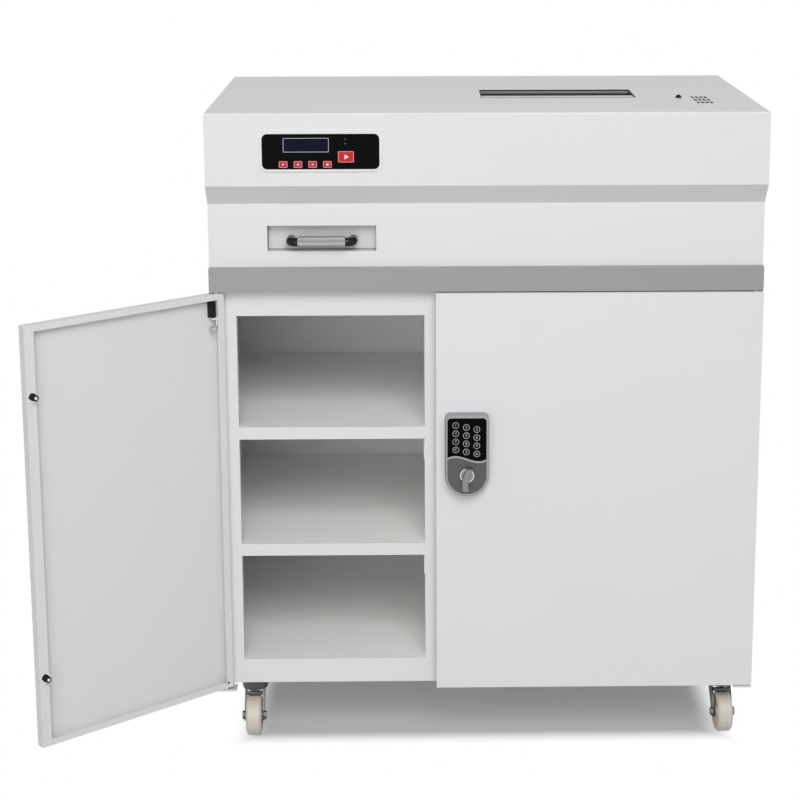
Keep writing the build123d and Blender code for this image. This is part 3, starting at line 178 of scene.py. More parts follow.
class Group(Graph):
    """A shared effect being wired: a node group with named inputs and outputs."""

    KINDS = {
        "Vector": "NodeSocketVector",
        "Stretch": "NodeSocketVector",
        "Colour": "NodeSocketColor",
        "Rubbed": "NodeSocketColor",
    }

    def __init__(self, name: str, inputs: tuple[str, ...], outputs: tuple[str, ...]) -> None:
        """Make an empty group with its sockets.

        Args:
            name: Name of the group.
            inputs: Names of its inputs.
            outputs: Names of its outputs.
        """
        super().__init__(bpy.data.node_groups.new(name, "ShaderNodeTree"))
        for way, labels in (("INPUT", inputs), ("OUTPUT", outputs)):
            for label in labels:
                kind = self.KINDS.get(label, "NodeSocketFloat")
                self.tree.interface.new_socket(label, in_out=way, socket_type=kind)
        self.given = self.tree.nodes.new("NodeGroupInput").outputs

    def result(self, **outputs: Socket) -> Tree:
        """The wired group, once its outputs are fed."""
        self.feed(self.tree.nodes.new("NodeGroupOutput"), outputs)
        return self.tree


class NodeGroups:
    """Shader effects that several finishes share, each built once."""

    @staticmethod
    @cache
    def mottle() -> Tree:
        """Broad, faint change of tone, as on sheet that was coated and handled."""
        group = Group(
            "mottle", ("Vector", "Colour", "Scale", "Amount", "Roughness"), ("Colour", "Roughness")
        )
        given = group.given
        feeds = {"Vector": given["Vector"], "Scale": given["Scale"], "Detail": 5.0}
        noise = group.node("TexNoise", feeds).outputs["Fac"]
        swing = group.calc("MULTIPLY", group.calc("SUBTRACT", noise, 0.5), given["Amount"])
        feeds = {0: given["Colour"], "Scale": group.calc("ADD", swing, 1.0)}
        tint = group.node("VectorMath", feeds, operation="SCALE").outputs["Vector"]
        return group.result(Colour=tint, Roughness=group.calc("ADD", given["Roughness"], swing))

    @staticmethod
    @cache
    def grain() -> Tree:
        """Fine raised grain: orange peel on a coat, or the skin of a moulding."""
        group = Group("grain", ("Vector", "Scale"), ("Height",))
        feeds = {label: group.given[label] for label in ("Vector", "Scale")}
        noise = group.node("TexNoise", {**feeds, "Detail": 2.0}).outputs["Fac"]
        cells = group.node("TexVoronoi", feeds, feature="SMOOTH_F1").outputs["Distance"]
        return group.result(Height=group.calc("ADD", noise, cells))

    @staticmethod
    @cache
    def brush() -> Tree:
        """Fine lines along one direction, as on brushed or drawn metal."""
        group = Group("brush", ("Vector", "Stretch", "Roughness", "Spread"), ("Height", "Roughness"))
        given = group.given
        feeds = {0: given["Vector"], 1: given["Stretch"]}
        place = group.node("VectorMath", feeds, operation="MULTIPLY").outputs["Vector"]
        noise = group.node("TexNoise", {"Vector": place, "Scale": 1.0, "Detail": 4.0}).outputs["Fac"]
        feeds = {0: noise, 1: given["Spread"], 2: given["Roughness"]}
        spread = group.node("Math", feeds, operation="MULTIPLY_ADD").outputs[0]
        return group.result(Height=noise, Roughness=spread)

    @staticmethod
    @cache
    def scuff() -> Tree:
        """Sparse rubbed patches, mixed into a colour."""
        group = Group("scuff", ("Vector", "Colour", "Rubbed", "Scale", "Amount"), ("Colour",))
        given = group.given
        feeds = {"Vector": given["Vector"], "Scale": given["Scale"], "Detail": 8.0, "Roughness": 0.7}
        noise = group.node("TexNoise", feeds).outputs["Fac"]
        gate = group.node("MapRange", {"Value": noise, "From Min": 0.58, "From Max": 0.72})
        share = group.calc("MULTIPLY", gate.outputs["Result"], given["Amount"])
        return group.result(Colour=group.mix(share, (given["Colour"], given["Rubbed"])))


class Shader(Graph):
    """A material being wired: its Principled shader and its Object coordinates."""

    def __init__(self, name: str) -> None:
        """Make the material with one Principled shader.

        Args:
            name: Name of the material.
        """
        self.material = bpy.data.materials.new(name)
        self.material.use_nodes = True
        super().__init__(self.material.node_tree)
        self.surface = self.tree.nodes["Principled BSDF"]
        self.place = self.node("TexCoord", {}).outputs["Object"]

    def effect(self, tree: Tree, **feeds: Feed) -> Outputs:
        """Outputs of a shared effect, placed with Object coordinates and its own values."""
        return self.node("Group", {"Vector": self.place, **feeds}, node_tree=tree).outputs

    def axes(self, place: Socket) -> Outputs:
        """Outputs X, Y and Z of a place."""
        return self.node("SeparateXYZ", {"Vector": place}).outputs


def opaque(colour: Colour, share: float = 1.0) -> tuple[float, ...]:
    """A colour, or a darker share of it, with full alpha."""
    return (*(share * part for part in colour), 1.0)


@dataclass(frozen=True)
class Finish:
    """What the kinds of finish share: a colour, a relief and the values of the effects."""

    name: str
    colour: Colour
    roughness: float = 0.42
    gloss: float = 0.5
    relief: float = 0.1
    relief_depth: float = 0.1 * MM
    mottle: float = 0.08
    mottle_scale: float = 45.0
    rubbed: float = 0.25
    rubbed_tone: float = 0.6
    rubbed_scale: float = 90.0
    grain: float = 1500.0
    stretch: Point = (40.0, 1400.0, 1400.0)
    spread: float = 0.16

    def material(self) -> Material:
        """Wire the material, in the way of the kind of finish."""
        raise NotImplementedError

    def mottled(self, shader: Shader, colour: Feed, roughness: float) -> Outputs:
        """Colour and Roughness of the mottle on a colour."""
        values = {"Scale": self.mottle_scale, "Amount": self.mottle, "Roughness": roughness}
        return shader.effect(NodeGroups.mottle(), Colour=colour, **values)

    def scuffed(self, shader: Shader, colour: Feed) -> Socket:
        """A colour with the rubbed spots on it."""
        values = {"Rubbed": opaque(self.colour, self.rubbed_tone), "Scale": self.rubbed_scale}
        return shader.effect(NodeGroups.scuff(), Colour=colour, Amount=self.rubbed, **values)["Colour"]

    def lined(self, shader: Shader) -> Outputs:
        """Height and Roughness of the brushed lines."""
        values = {"Stretch": self.stretch, "Roughness": self.roughness, "Spread": self.spread}
        return shader.effect(NodeGroups.brush(), **values)

    def wired(self, shader: Shader, colour: Socket, roughness: Socket, height: Socket) -> Material:
        """Feed the surface and its relief.

        Args:
            shader: The material being wired.
            colour: Socket of the colour.
            roughness: Socket of the roughness.
            height: Socket of the relief's height.

        Returns:
            The material.
        """
        feeds = {"Distance": self.relief_depth, "Strength": self.relief, "Height": height}
        normal = shader.node("Bump", feeds).outputs["Normal"]
        feeds = {"Base Color": colour, "Roughness": roughness, "Normal": normal}
        shader.feed(shader.surface, {**feeds, "Specular IOR Level": self.gloss})
        return shader.material


@dataclass(frozen=True)
class Coat(Finish):
    """Powder-coated sheet: orange peel, faint mottle and rubbed spots."""

    gloss: float = 0.45
    relief: float = 0.12
    relief_depth: float = 0.2 * MM
    mottle: float = 0.035
    mottle_scale: float = 7.0
    rubbed: float = 0.06
    rubbed_tone: float = 0.82
    rubbed_scale: float = 26.0
    grain: float = 650.0
    # Lighter tone behind the front lip: painted light for the shaded inside of the bays.
    inside: Colour | None = None
    lip_edge: float = 0.0

    def material(self) -> Material:
        """Wire the coat's material, with a lighter tone behind the front lip if it has one, as painted
        light in the shaded bays.

        Returns:
            The material.
        """
        shader = Shader(self.name)
        colour = opaque(self.colour)
        # Painted light: behind the front lip the coat takes a lighter tone, brightening the shaded
        # shelves and walls inside the bays.
        if self.inside:
            behind = shader.calc("GREATER_THAN", shader.axes(shader.place)["Y"], self.lip_edge)
            colour = shader.mix(behind, (colour, opaque(self.inside)))
        tone = self.mottled(shader, colour, self.roughness)
        spots = self.scuffed(shader, tone["Colour"])
        peel = shader.effect(NodeGroups.grain(), Scale=self.grain)
        return self.wired(shader, spots, tone["Roughness"], peel["Height"])


@dataclass(frozen=True)
class Metal(Finish):
    """Plated or machined metal with fine lines and rubbed spots."""

    roughness: float = 0.28
    relief: float = 0.08

    def material(self) -> Material:
        """Wire the metal's material.

        Returns:
            The material.
        """
        shader = Shader(self.name)
        shader.feed(shader.surface, {"Metallic": 1.0})
        lines = self.lined(shader)
        spots = self.scuffed(shader, opaque(self.colour))
        return self.wired(shader, spots, lines["Roughness"], lines["Height"])


@dataclass(frozen=True)
class Moulding(Finish):
    """Moulded plastic or rubber with a fine skin, glossy when it has a clear coat."""

    roughness: float = 0.45
    clear: float = 0.0
    clear_roughness: float = 0.06

    def material(self) -> Material:
        """Wire the moulding's material.

        Returns:
            The material.
        """
        shader = Shader(self.name)
        coat = {"Coat Weight": self.clear, "Coat Roughness": self.clear_roughness}
        shader.feed(shader.surface, coat)
        tone = self.mottled(shader, opaque(self.colour), self.roughness)
        skin = shader.effect(NodeGroups.grain(), Scale=self.grain)
        return self.wired(shader, tone["Colour"], tone["Roughness"], skin["Height"])


@dataclass(frozen=True, kw_only=True)
class ChuteSheet(Finish):
    """Feed chute: steel in the funnel, darkened towards the bottom as painted shade, white coat on the
    ledge in front of it.
    """

    coat: Colour
    coat_roughness: float = 0.42
    ledge_level: float
    mouth_edge: float
    # Depth and darkest share of the painted shade in the funnel below the ledge.
    dark_below: float = 4.5 * MM
    dark_share: float = 0.02
    roughness: float = 0.22
    gloss: float = 0.12
    relief: float = 0.05
    mottle: float = 0.04
    mottle_scale: float = 9.0
    rubbed: float = 0.4
    rubbed_tone: float = 0.5
    rubbed_scale: float = 40.0
    stretch: Point = (30.0, 900.0, 900.0)
    spread: float = 0.12

    def material(self) -> Material:
        """Wire the chute's material, with painted shade that darkens the funnel with depth.

        Returns:
            The material.
        """
        shader = Shader(self.name)
        lines = self.lined(shader)
        rolled = self.scuffed(shader, opaque(self.colour))
        painted = self.mottled(shader, opaque(self.coat), self.coat_roughness)
        axes = shader.axes(shader.place)
        high = shader.calc("GREATER_THAN", axes["Z"], self.ledge_level)
        front = shader.calc("LESS_THAN", axes["Y"], self.mouth_edge)
        ledge = shader.calc("MULTIPLY", high, front)
        # Painted shade: the steel's colour falls to a small share over the last few millimetres below
        # the ledge, standing in for the dark depth of the funnel.
        span = {"From Min": self.ledge_level - self.dark_below, "From Max": self.ledge_level}
        depth = shader.node("MapRange", {"Value": axes["Z"], **span, "To Min": self.dark_share})
        painted_depth_shade = shader.mix(1.0, (rolled, depth.outputs["Result"]), blend_type="MULTIPLY")
        colour = shader.mix(ledge, (painted_depth_shade, painted["Colour"]))
        roughness = shader.mix_values(ledge, (lines["Roughness"], painted["Roughness"]))
        return self.wired(shader, colour, roughness, lines["Height"])


WHITE_COAT = Coat("white_coat", (0.76, 0.76, 0.77))
# Inside the bays the coat is lighter than on its lips, 0.96 against 0.76: painted light.
INNER_COAT = Coat("inner_coat", (0.76, 0.757, 0.75), inside=(0.96, 0.955, 0.94), lip_edge=-211.0 * MM)
TRAY_COAT = Coat("tray_coat", (0.64, 0.64, 0.635))
BAND_COAT = Coat("band_coat", (0.325, 0.325, 0.33), roughness=0.38)
BIN_COAT = Coat("bin_coat", (0.42, 0.43, 0.44), roughness=0.5)
CHUTE_SHEET = ChuteSheet(
    "chute_sheet",
    (0.42, 0.415, 0.405),
    coat=(0.7, 0.69, 0.685),
    ledge_level=956.0 * MM,
    mouth_edge=-28.9 * MM,
)
ZINC_PLATE = Metal("zinc_plate", (0.62, 0.63, 0.65), roughness=0.32)
TOOL_STEEL = Metal("tool_steel", (0.42, 0.42, 0.44), roughness=0.3, rubbed=0.4)
GROUND_STEEL = Metal("ground_steel", (0.5, 0.5, 0.52), stretch=(1200.0, 60.0, 1200.0))
BRONZE = Metal("bronze", (0.55, 0.36, 0.16), roughness=0.35)
CAST_ALLOY = Metal("cast_alloy", (0.5, 0.51, 0.52), roughness=0.5, stretch=(500.0, 500.0, 500.0))
KNURLED_STEEL = Metal("knurled_steel", (0.29, 0.295, 0.29), roughness=0.3)
SATIN_CHROME = Metal("satin_chrome", (0.33, 0.34, 0.35), roughness=0.24, stretch=(60.0, 900.0, 1300.0))
GUNMETAL = Metal("gunmetal", (0.1, 0.102, 0.105), roughness=0.34, stretch=(60.0, 900.0, 1300.0))
BRIGHT_CHROME = Metal("bright_chrome", (0.72, 0.73, 0.74), roughness=0.1, spread=0.06, rubbed=0.1)
KNOB_CHROME = Metal("knob_chrome", (0.25, 0.255, 0.26), roughness=0.2, spread=0.1)
FORK_PLATE = Moulding("fork_plate", (0.05, 0.047, 0.045), roughness=0.2, relief=0.02, gloss=0.7)
MOTOR_PAINT = Moulding("motor_paint", (0.05, 0.055, 0.06), roughness=0.5, grain=900.0, relief=0.3)
BEZEL_PLASTIC = Moulding("bezel_plastic", (0.76, 0.76, 0.765), roughness=0.35)
PANEL_GLOSS = Moulding("panel_gloss", (0.002, 0.002, 0.003), roughness=0.3, relief=0.02, gloss=0.03)
DISPLAY_GLASS = Moulding("display_glass", (0.002, 0.003, 0.018), roughness=0.2, relief=0.01, gloss=0.04)
BOARD_RESIN = Moulding("board_resin", (0.02, 0.12, 0.05), roughness=0.4)
KEY_PLASTIC = Moulding("key_plastic", (0.56, 0.008, 0.016), roughness=0.4, gloss=0.25)
PRINT_LIGHT = Moulding("print_light", (0.74, 0.7, 0.7), roughness=0.5, relief=0.03)
RING_PRINT = Moulding("ring_print", (0.55, 0.56, 0.57), roughness=0.5, relief=0.03)
LAMP_DARK = Moulding("lamp_dark", (0.05, 0.012, 0.012), roughness=0.15, clear=0.6, relief=0.02)
HANDLE_BLACK = Moulding("handle_black", (0.004, 0.004, 0.004), roughness=0.16, relief=0.02, gloss=0.25)
BLACK_PLASTIC = Moulding("black_plastic", (0.01, 0.01, 0.01), roughness=0.5, relief=0.2, gloss=0.15)
BLACK_RUBBER = Moulding(
    "black_rubber", (0.01, 0.01, 0.01), roughness=0.7, grain=1100.0, relief=0.35, gloss=0.15
)
WHEEL_NYLON = Moulding("wheel_nylon", (0.64, 0.595, 0.51), roughness=0.38, grain=800.0, relief=0.12)

NODES_BY_FINISH: dict[Finish, tuple[str, ...]] = {
    WHITE_COAT: (
        *("base_pan", "left_side_panel", "right_side_panel", "back_panel", "head_casing"),
        *("machine_deck", "left_door", "right_door"),
    ),
    INNER_COAT: ("floor_panel", "centre_partition", "upper_shelf", "lower_shelf"),
    TRAY_COAT: ("drawer_sleeve", "drawer_tray"),
    BAND_COAT: ("waist_band",),
    BIN_COAT: ("waste_box",),
    CHUTE_SHEET: ("feed_chute",),
    ZINC_PLATE: ("hinge_brackets", "hinge_pins", "waste_runners", "lock_cam", "pivot_bolt"),
    TOOL_STEEL: ("front_cutter", "rear_cutter", "stripper_combs"),
    GROUND_STEEL: ("cutter_side_plates", "front_gear", "rear_gear", "shaft_coupling"),
    BRONZE: ("shaft_bearings",),
    CAST_ALLOY: ("gearbox",),
    KNURLED_STEEL: ("drawer_grip",),
    SATIN_CHROME: ("lock_housing",),
    GUNMETAL: ("lock_cover",),
    KNOB_CHROME: ("lock_knob",),
    MOTOR_PAINT: ("drive_motor",),
    BEZEL_PLASTIC: ("panel_bezel",),
    PANEL_GLOSS: ("panel_face", "lock_keypad"),
    DISPLAY_GLASS: ("display",),
    BOARD_RESIN: ("control_board",),
    KEY_PLASTIC: ("start_key", *(f"mode_key_{number}" for number in range(1, 5))),
    HANDLE_BLACK: ("drawer_handle",),
    BLACK_PLASTIC: ("waste_box_handle", "power_inlet", "reset_button"),
    BLACK_RUBBER: ("door_buffers",),
    WHEEL_NYLON: tuple(f"castor_wheel_{corner}" for corner in CASTORS),
    FORK_PLATE: ("castor_plates", *(f"castor_fork_{corner}" for corner in CASTORS)),
}
NODE_FINISHES = {node: finish for finish, nodes in NODES_BY_FINISH.items() for node in nodes}


@cache
def material_of(finish: Finish) -> Material:
    """Material of a finish, made the first time it is asked for."""
    return finish.material()


class Bench:
    """Modelling steps that the new pieces share."""

    CORNER_STEPS = 5
    CROWN_STEPS = 3
    EDGE_STEPS = 2
    RING_SIDES = 32
    STUD_SIDES = 24

    @staticmethod
    def clear() -> None:
        """Leave edit mode and deselect every object."""
        active = bpy.context.view_layer.objects.active
        if active and active.mode != "OBJECT":
            bpy.ops.object.mode_set(mode="OBJECT")
        bpy.ops.object.select_all(action="DESELECT")

    @staticmethod
    def only(piece: Piece) -> None:
        """Make one piece the only selected and active object.

        Args:
            piece: The piece.
        """
        Bench.clear()
        piece.select_set(True)
        bpy.context.view_layer.objects.active = piece

    @staticmethod
    def new(name: str, add: Callable[..., object], **settings: object) -> Piece:
        """Add an object and name it.

        Args:
            name: Name of the piece.
            add: Operator that adds it.
            settings: Settings of the operator.

        Returns:
            The piece.
        """
        Bench.clear()
        add(**settings)
        piece = bpy.context.object
        piece.name = name
        return piece

    @staticmethod
    @contextmanager
    def editing(piece: Piece) -> Iterator[None]:
        """Edit mode with all of a piece selected, for the length of a with block.

        Args:
            piece: The piece to edit.
        """
        Bench.only(piece)
        bpy.ops.object.mode_set(mode="EDIT")
        bpy.ops.mesh.select_all(action="SELECT")
        yield
        bpy.ops.object.mode_set(mode="OBJECT")

    @staticmethod
    @contextmanager
    def picked(
        piece: Piece, element: Element, test: Callable[[bpy.types.bpy_struct], bool]
    ) -> Iterator[None]:
        """Edit mode with some faces or edges selected, for the length of a with block.

        Args:
            piece: The piece to edit.
            element: Whether faces or edges are picked.
            test: Says of a face or an edge whether it is picked.
        """
        Bench.only(piece)
        bpy.ops.object.mode_set(mode="EDIT")
        bpy.ops.mesh.select_mode(type=element.name)
        bpy.ops.mesh.select_all(action="DESELECT")
        bpy.ops.object.mode_set(mode="OBJECT")
        for part in getattr(piece.data, element.value):
            part.select = test(part)
        bpy.ops.object.mode_set(mode="EDIT")
        yield
        bpy.ops.object.mode_set(mode="OBJECT")

    @staticmethod
    def levels(piece: Piece, edge: bpy.types.MeshEdge) -> list[float]:
        """Levels of an edge's two ends, the lower one first."""
        return sorted(piece.data.vertices[end].co.z for end in edge.vertices)

    @staticmethod
    def rise(piece: Piece, edge: bpy.types.MeshEdge) -> float:
        """Difference of level between an edge's two ends."""
        low, high = Bench.levels(piece, edge)
        return high - low

    @staticmethod
    def extrude(x: float = 0.0, y: float = 0.0, z: float = 0.0) -> None:
        """Extrude what is selected in edit mode by this much."""
        bpy.ops.mesh.extrude_region_move(TRANSFORM_OT_translate={"value": (x, y, z)})

    @staticmethod
    def border(width: float, depth: float) -> None:
        """Keep only a border of the flat face in edit mode and make it thick.

        Args:
            width: Width of the border.
            depth: Thickness, upwards.
        """
        bpy.ops.mesh.inset(thickness=width)
        bpy.ops.mesh.delete(type="FACE")
        bpy.ops.mesh.select_all(action="SELECT")
        Bench.extrude(z=depth)

    @staticmethod
    def apply(piece: Piece, place: Matrix | None = None) -> None:
        """Put a piece's place into its mesh and leave its object at the origin.

        Args:
            piece: The piece to place.
            place: Matrix that is applied first, if any.
        """
        Bench.only(piece)
        if place is not None:
            piece.matrix_world = place @ piece.matrix_world
        bpy.ops.object.transform_apply(location=True, rotation=True, scale=True)

    @staticmethod
    def modify(piece: Piece, kind: str, **settings: object) -> None:
        """Add a modifier to a piece and apply it.

        Args:
            piece: The piece.
            kind: Type of the modifier.
            settings: Name of a property to its value.
        """
        Bench.only(piece)
        step = piece.modifiers.new(kind, kind)
        for label, value in settings.items():
            setattr(step, label, value)
        bpy.ops.object.modifier_apply(modifier=step.name)

    @staticmethod
    def tidy(piece: Piece, angle: float = SMOOTH_ANGLE) -> None:
        """Merge doubles, turn normals outwards and smooth below an angle.

        Args:
            piece: The piece to finish.
            angle: Largest angle in degrees that is shaded smooth.
        """
        with Bench.editing(piece):
            bpy.ops.mesh.remove_doubles(threshold=SAME_POINT)
            bpy.ops.mesh.normals_make_consistent(inside=False)
        bpy.ops.object.shade_smooth_by_angle(angle=math.radians(angle))

    @staticmethod
    def copy(piece: Piece, name: str, place: Matrix) -> Piece:
        """Copy a modelled piece with its own mesh.

        Args:
            piece: The modelled piece.
            name: Name of the copy.
            place: Where the copy goes.

        Returns:
            The copy, with its place in its mesh.
        """
        twin = piece.copy()
        twin.data = piece.data.copy()
        twin.name = name
        bpy.context.scene.collection.objects.link(twin)
        twin.data.transform(place)
        return twin

    @staticmethod
    def join(pieces: list[Piece], name: str) -> Piece:
        """Join pieces of one body into one object.

        Args:
            pieces: The pieces.
            name: Name of the result.

        Returns:
            The joined object.
        """
        Bench.only(pieces[0])
        for piece in pieces:
            piece.select_set(True)
        bpy.ops.object.join()
        joined = bpy.context.view_layer.objects.active
        joined.name = name
        return joined

    @staticmethod
    def drop(piece: Piece) -> None:
        """Delete a piece that was only copied from."""
        bpy.data.objects.remove(piece, do_unlink=True)

    @staticmethod
    def block(name: str, size: Point, centre: Point = (0.0, 0.0, 0.0)) -> Piece:
        """Model a plain block.

        Args:
            name: Name of the piece.
            size: Its three sides.
            centre: Its centre.

        Returns:
            The block.
        """
        piece = Bench.new(name, bpy.ops.mesh.primitive_cube_add, size=1.0, location=centre)
        piece.scale = size
        Bench.apply(piece)
        return piece

    @staticmethod
    def rounded_frame(
        name: str, size: Pair, corner: float, border: float, depth: float
    ) -> Piece:
        """Model a flat frame with rounded corners on the floor plane, facing up.

        Args:
            name: Name of the piece.
            size: Outer width along X and height along Y.
            corner: Corner radius.
            border: Width of the border.
            depth: Thickness, upwards.

        Returns:
            The frame, centred on the origin.
        """
        piece = Bench.new(name, bpy.ops.mesh.primitive_plane_add, size=1.0)
        piece.scale = (*size, 1.0)
        Bench.apply(piece)
        with Bench.editing(piece):
            bpy.ops.mesh.bevel(affect="VERTICES", offset=corner, segments=Bench.CORNER_STEPS)
            Bench.border(border, depth)
        Bench.tidy(piece)
        return piece

    @staticmethod
    def ring(name: str, radius: float, border: float, depth: float) -> Piece:
        """Model a flat ring on the floor plane, facing up.

        Args:
            name: Name of the piece.
            radius: Outer radius.
            border: Width of the ring.
            depth: Thickness, upwards.

        Returns:
            The ring, centred on the origin.
        """
        add = bpy.ops.mesh.primitive_circle_add
        piece = Bench.new(name, add, vertices=Bench.RING_SIDES, radius=radius, fill_type="NGON")
        with Bench.editing(piece):
            Bench.border(border, depth)
        Bench.tidy(piece)
        return piece

    @staticmethod
    def stud(name: str, radius: float, height: float, crown: float, sides: int = STUD_SIDES) -> Piece:
        """Model a round or many-sided head with a rounded top edge, standing up on the origin.

        Args:
            name: Name of the piece.
            radius: Radius of the head.
            height: Height of the head.
            crown: Width of the rounding on the top edge.
            sides: Number of sides.

        Returns:
            The head.
        """
        middle = (0.0, 0.0, height / 2)
        add = bpy.ops.mesh.primitive_cylinder_add
        piece = Bench.new(name, add, vertices=sides, radius=radius, depth=height, location=middle)
        Bench.apply(piece)
        top = height - SAME_POINT
        with Bench.picked(piece, Element.EDGE, lambda edge: Bench.levels(piece, edge)[0] > top):
            bpy.ops.mesh.bevel(offset=crown, segments=Bench.CROWN_STEPS)
        return piece

    @staticmethod
    def cut(piece: Piece, size: Point, centre: Point) -> None:
        """Cut a block out of a piece.

        Args:
            piece: The piece to cut.
            size: Size of the block.
            centre: Centre of the block.
        """
        block = Bench.block("cutter", size, centre)
        Bench.modify(piece, "BOOLEAN", operation="DIFFERENCE", object=block)
        Bench.drop(block)


def place_at(point: Point, facing: Facing, turn: float = 0.0) -> Matrix:
    """Matrix that stands a piece on a point and turns it to its facing.

    Args:
        point: Where the piece's origin goes, in metres.
        facing: Direction in which it stands out.
        turn: Turn about that direction, in degrees.

    Returns:
        The matrix.
    """
    spin = Matrix.Rotation(math.radians(turn), 4, "Z")
    return Matrix.Translation(point) @ facing.turn() @ spin


def settle(piece: Piece, finish: Finish, body: Body | str) -> None:
    """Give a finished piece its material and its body.

    Args:
        piece: The piece, in place.
        finish: Its finish.
        body: The body that it rides on.
    """
    piece.data.materials.clear()
    piece.data.materials.append(material_of(finish))
    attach(piece, body.value if isinstance(body, Body) else body)
    LOG.info("%s: %d faces", piece.name, len(piece.data.polygons))


def joint_place(name: str) -> Vector:
    """Point that a joint of the frame turns or slides about."""
    return Vector(next(joint["pos_m"] for joint in frame["joints"] if joint["name"] == name))


@dataclass
class Solids:
    """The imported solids, each with its finish."""

    nodes: dict[str, Piece]

    def dress(self) -> None:
        """Give each solid the material of its finish."""
        for name, node in self.nodes.items():
            material = material_of(NODE_FINISHES[name])
            for slot in node.material_slots:
                slot.material = material
            LOG.info("%s: %s", name, material.name)


@dataclass(frozen=True)
class KeySign:
    """Plain sign on one key: a polygon and its turn in degrees, where 0 points right."""

    key: str
    turn: float
    sides: int = 3
    size: float = 2.2 * MM


@dataclass
class ControlPanel:
    """Trim of the control panel: display frame, key borders, key signs and lamps."""

    display_border: float = 0.6 * MM
    display_corner: float = 1.0 * MM
    display_proud: float = 0.9 * MM
    key_border: float = 0.4 * MM
    key_corner: float = 1.4 * MM
    key_margin: Pair = (2.0 * MM, 0.8 * MM)
    print_depth: float = 0.12 * MM
    lamp_radius: float = 1.3 * MM
    lamp_height: float = 0.9 * MM
    lamp_crown: float = 0.72 * MM
    lamp_x: float = -200.8 * MM
    lamp_levels: Pair = (920.9 * MM, 914.7 * MM)
    signs: tuple[KeySign, ...] = (
        KeySign("mode_key_1", 180.0),
        KeySign("mode_key_2", 90.0),
        KeySign("mode_key_3", -90.0),
        KeySign("mode_key_4", 45.0, sides=4),
        KeySign("start_key", 0.0, size=4.2 * MM),
    )

    def build(self) -> None:
        """Model every piece of the trim."""
        self.display_frame()
        for sign in self.signs:
            self.key_print(sign)
        self.lamps()

    def display_frame(self) -> None:
        """Silver frame round the display window."""
        low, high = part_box("display")
        middle = (low + high) / 2
        size = (high.x - low.x, high.z - low.z)
        border = Bench.rounded_frame(
            "display_frame", size, self.display_corner, self.display_border, self.display_proud
        )
        Bench.apply(border, place_at((middle.x, low.y, middle.z), Facing.FRONT))
        settle(border, RING_PRINT, Body.CABINET)

    def key_print(self, sign: KeySign) -> None:
        """Light border and a plain sign on one key.

        Args:
            sign: The sign and its key, which is both a node and a body.
        """
        low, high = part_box(sign.key)
        middle = (low + high) / 2
        size = (high.x - low.x - self.key_margin[0], high.z - low.z - self.key_margin[1])
        border = Bench.rounded_frame(
            f"{sign.key}_border", size, self.key_corner, self.key_border, self.print_depth
        )
        add = bpy.ops.mesh.primitive_circle_add
        mark = Bench.new("sign", add, vertices=sign.sides, radius=sign.size, fill_type="NGON")
        with Bench.editing(mark):
            bpy.ops.mesh.bevel(affect="VERTICES", offset=self.print_depth * 2, segments=Bench.EDGE_STEPS)
            bpy.ops.mesh.select_all(action="SELECT")
            Bench.extrude(z=self.print_depth)
        Bench.tidy(mark)
        Bench.apply(mark, Matrix.Rotation(math.radians(sign.turn - 90.0), 4, "Z"))
        prints = Bench.join([border, mark], f"{sign.key}_print")
        Bench.apply(prints, place_at((middle.x, low.y, middle.z), Facing.FRONT))
        settle(prints, PRINT_LIGHT, sign.key)

    def lamps(self) -> None:
        """Two small indicator lamps in the panel face."""
        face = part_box("panel_face")[0].y
        master = Bench.stud("lamp", self.lamp_radius, self.lamp_height, self.lamp_crown)
        Bench.tidy(master, ROUND_SMOOTH_ANGLE)
        for number, level in enumerate(self.lamp_levels, start=1):
            place = place_at((self.lamp_x, face, level), Facing.FRONT)
            lamp = Bench.copy(master, f"panel_lamp_{number}", place)
            settle(lamp, LAMP_DARK, Body.CABINET)
        Bench.drop(master)


@dataclass
class KeypadMarks:
    """Printed rings and numerals on the touch pad of the lock."""

    ring_radius: float = 4.7 * MM
    ring_border: float = 0.6 * MM
    depth: float = 0.15 * MM
    numeral_size: float = 5.6 * MM
    first: Pair = (-45.3 * MM, 503.7 * MM)
    column_pitch: float = 15.3 * MM
    column_drop: float = 3.1 * MM
    row_pitch: float = 12.3 * MM
    columns: int = 3
    curve_steps: int = 3
    numerals: str = "123456789C0#"

    def build(self) -> None:
        """Model the rings and numerals and join them on the pad."""
        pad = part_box("lock_keypad")[0].y
        ring = Bench.ring("ring", self.ring_radius, self.ring_border, self.depth)
        marks = []
        for index, numeral in enumerate(self.numerals):
            row, column = divmod(index, self.columns)
            across = self.first[0] + column * self.column_pitch
            level = self.first[1] - row * self.row_pitch - column * self.column_drop
            place = place_at((across, pad, level), Facing.FRONT)
            marks.append(Bench.copy(ring, "ring", place))
            marks.append(self.numeral(numeral, place))
        Bench.drop(ring)
        joined = Bench.join(marks, "keypad_marks")
        settle(joined, RING_PRINT, Body.RIGHT_DOOR)

    def numeral(self, text: str, place: Matrix) -> Piece:
        """One numeral, made a mesh and put in its ring.

        Args:
            text: The numeral.
            place: Matrix of its ring.

        Returns:
            The numeral.
        """
        letters = Bench.new("numeral", bpy.ops.object.text_add).data
        letters.body = text
        letters.size = self.numeral_size
        letters.align_x = "CENTER"
        letters.align_y = "CENTER"
        letters.extrude = self.depth / 2
        letters.resolution_u = self.curve_steps
        bpy.ops.object.convert(target="MESH")
        numeral = bpy.context.object
        Bench.apply(numeral, place @ Matrix.Translation((0.0, 0.0, self.depth / 2)))
        return numeral


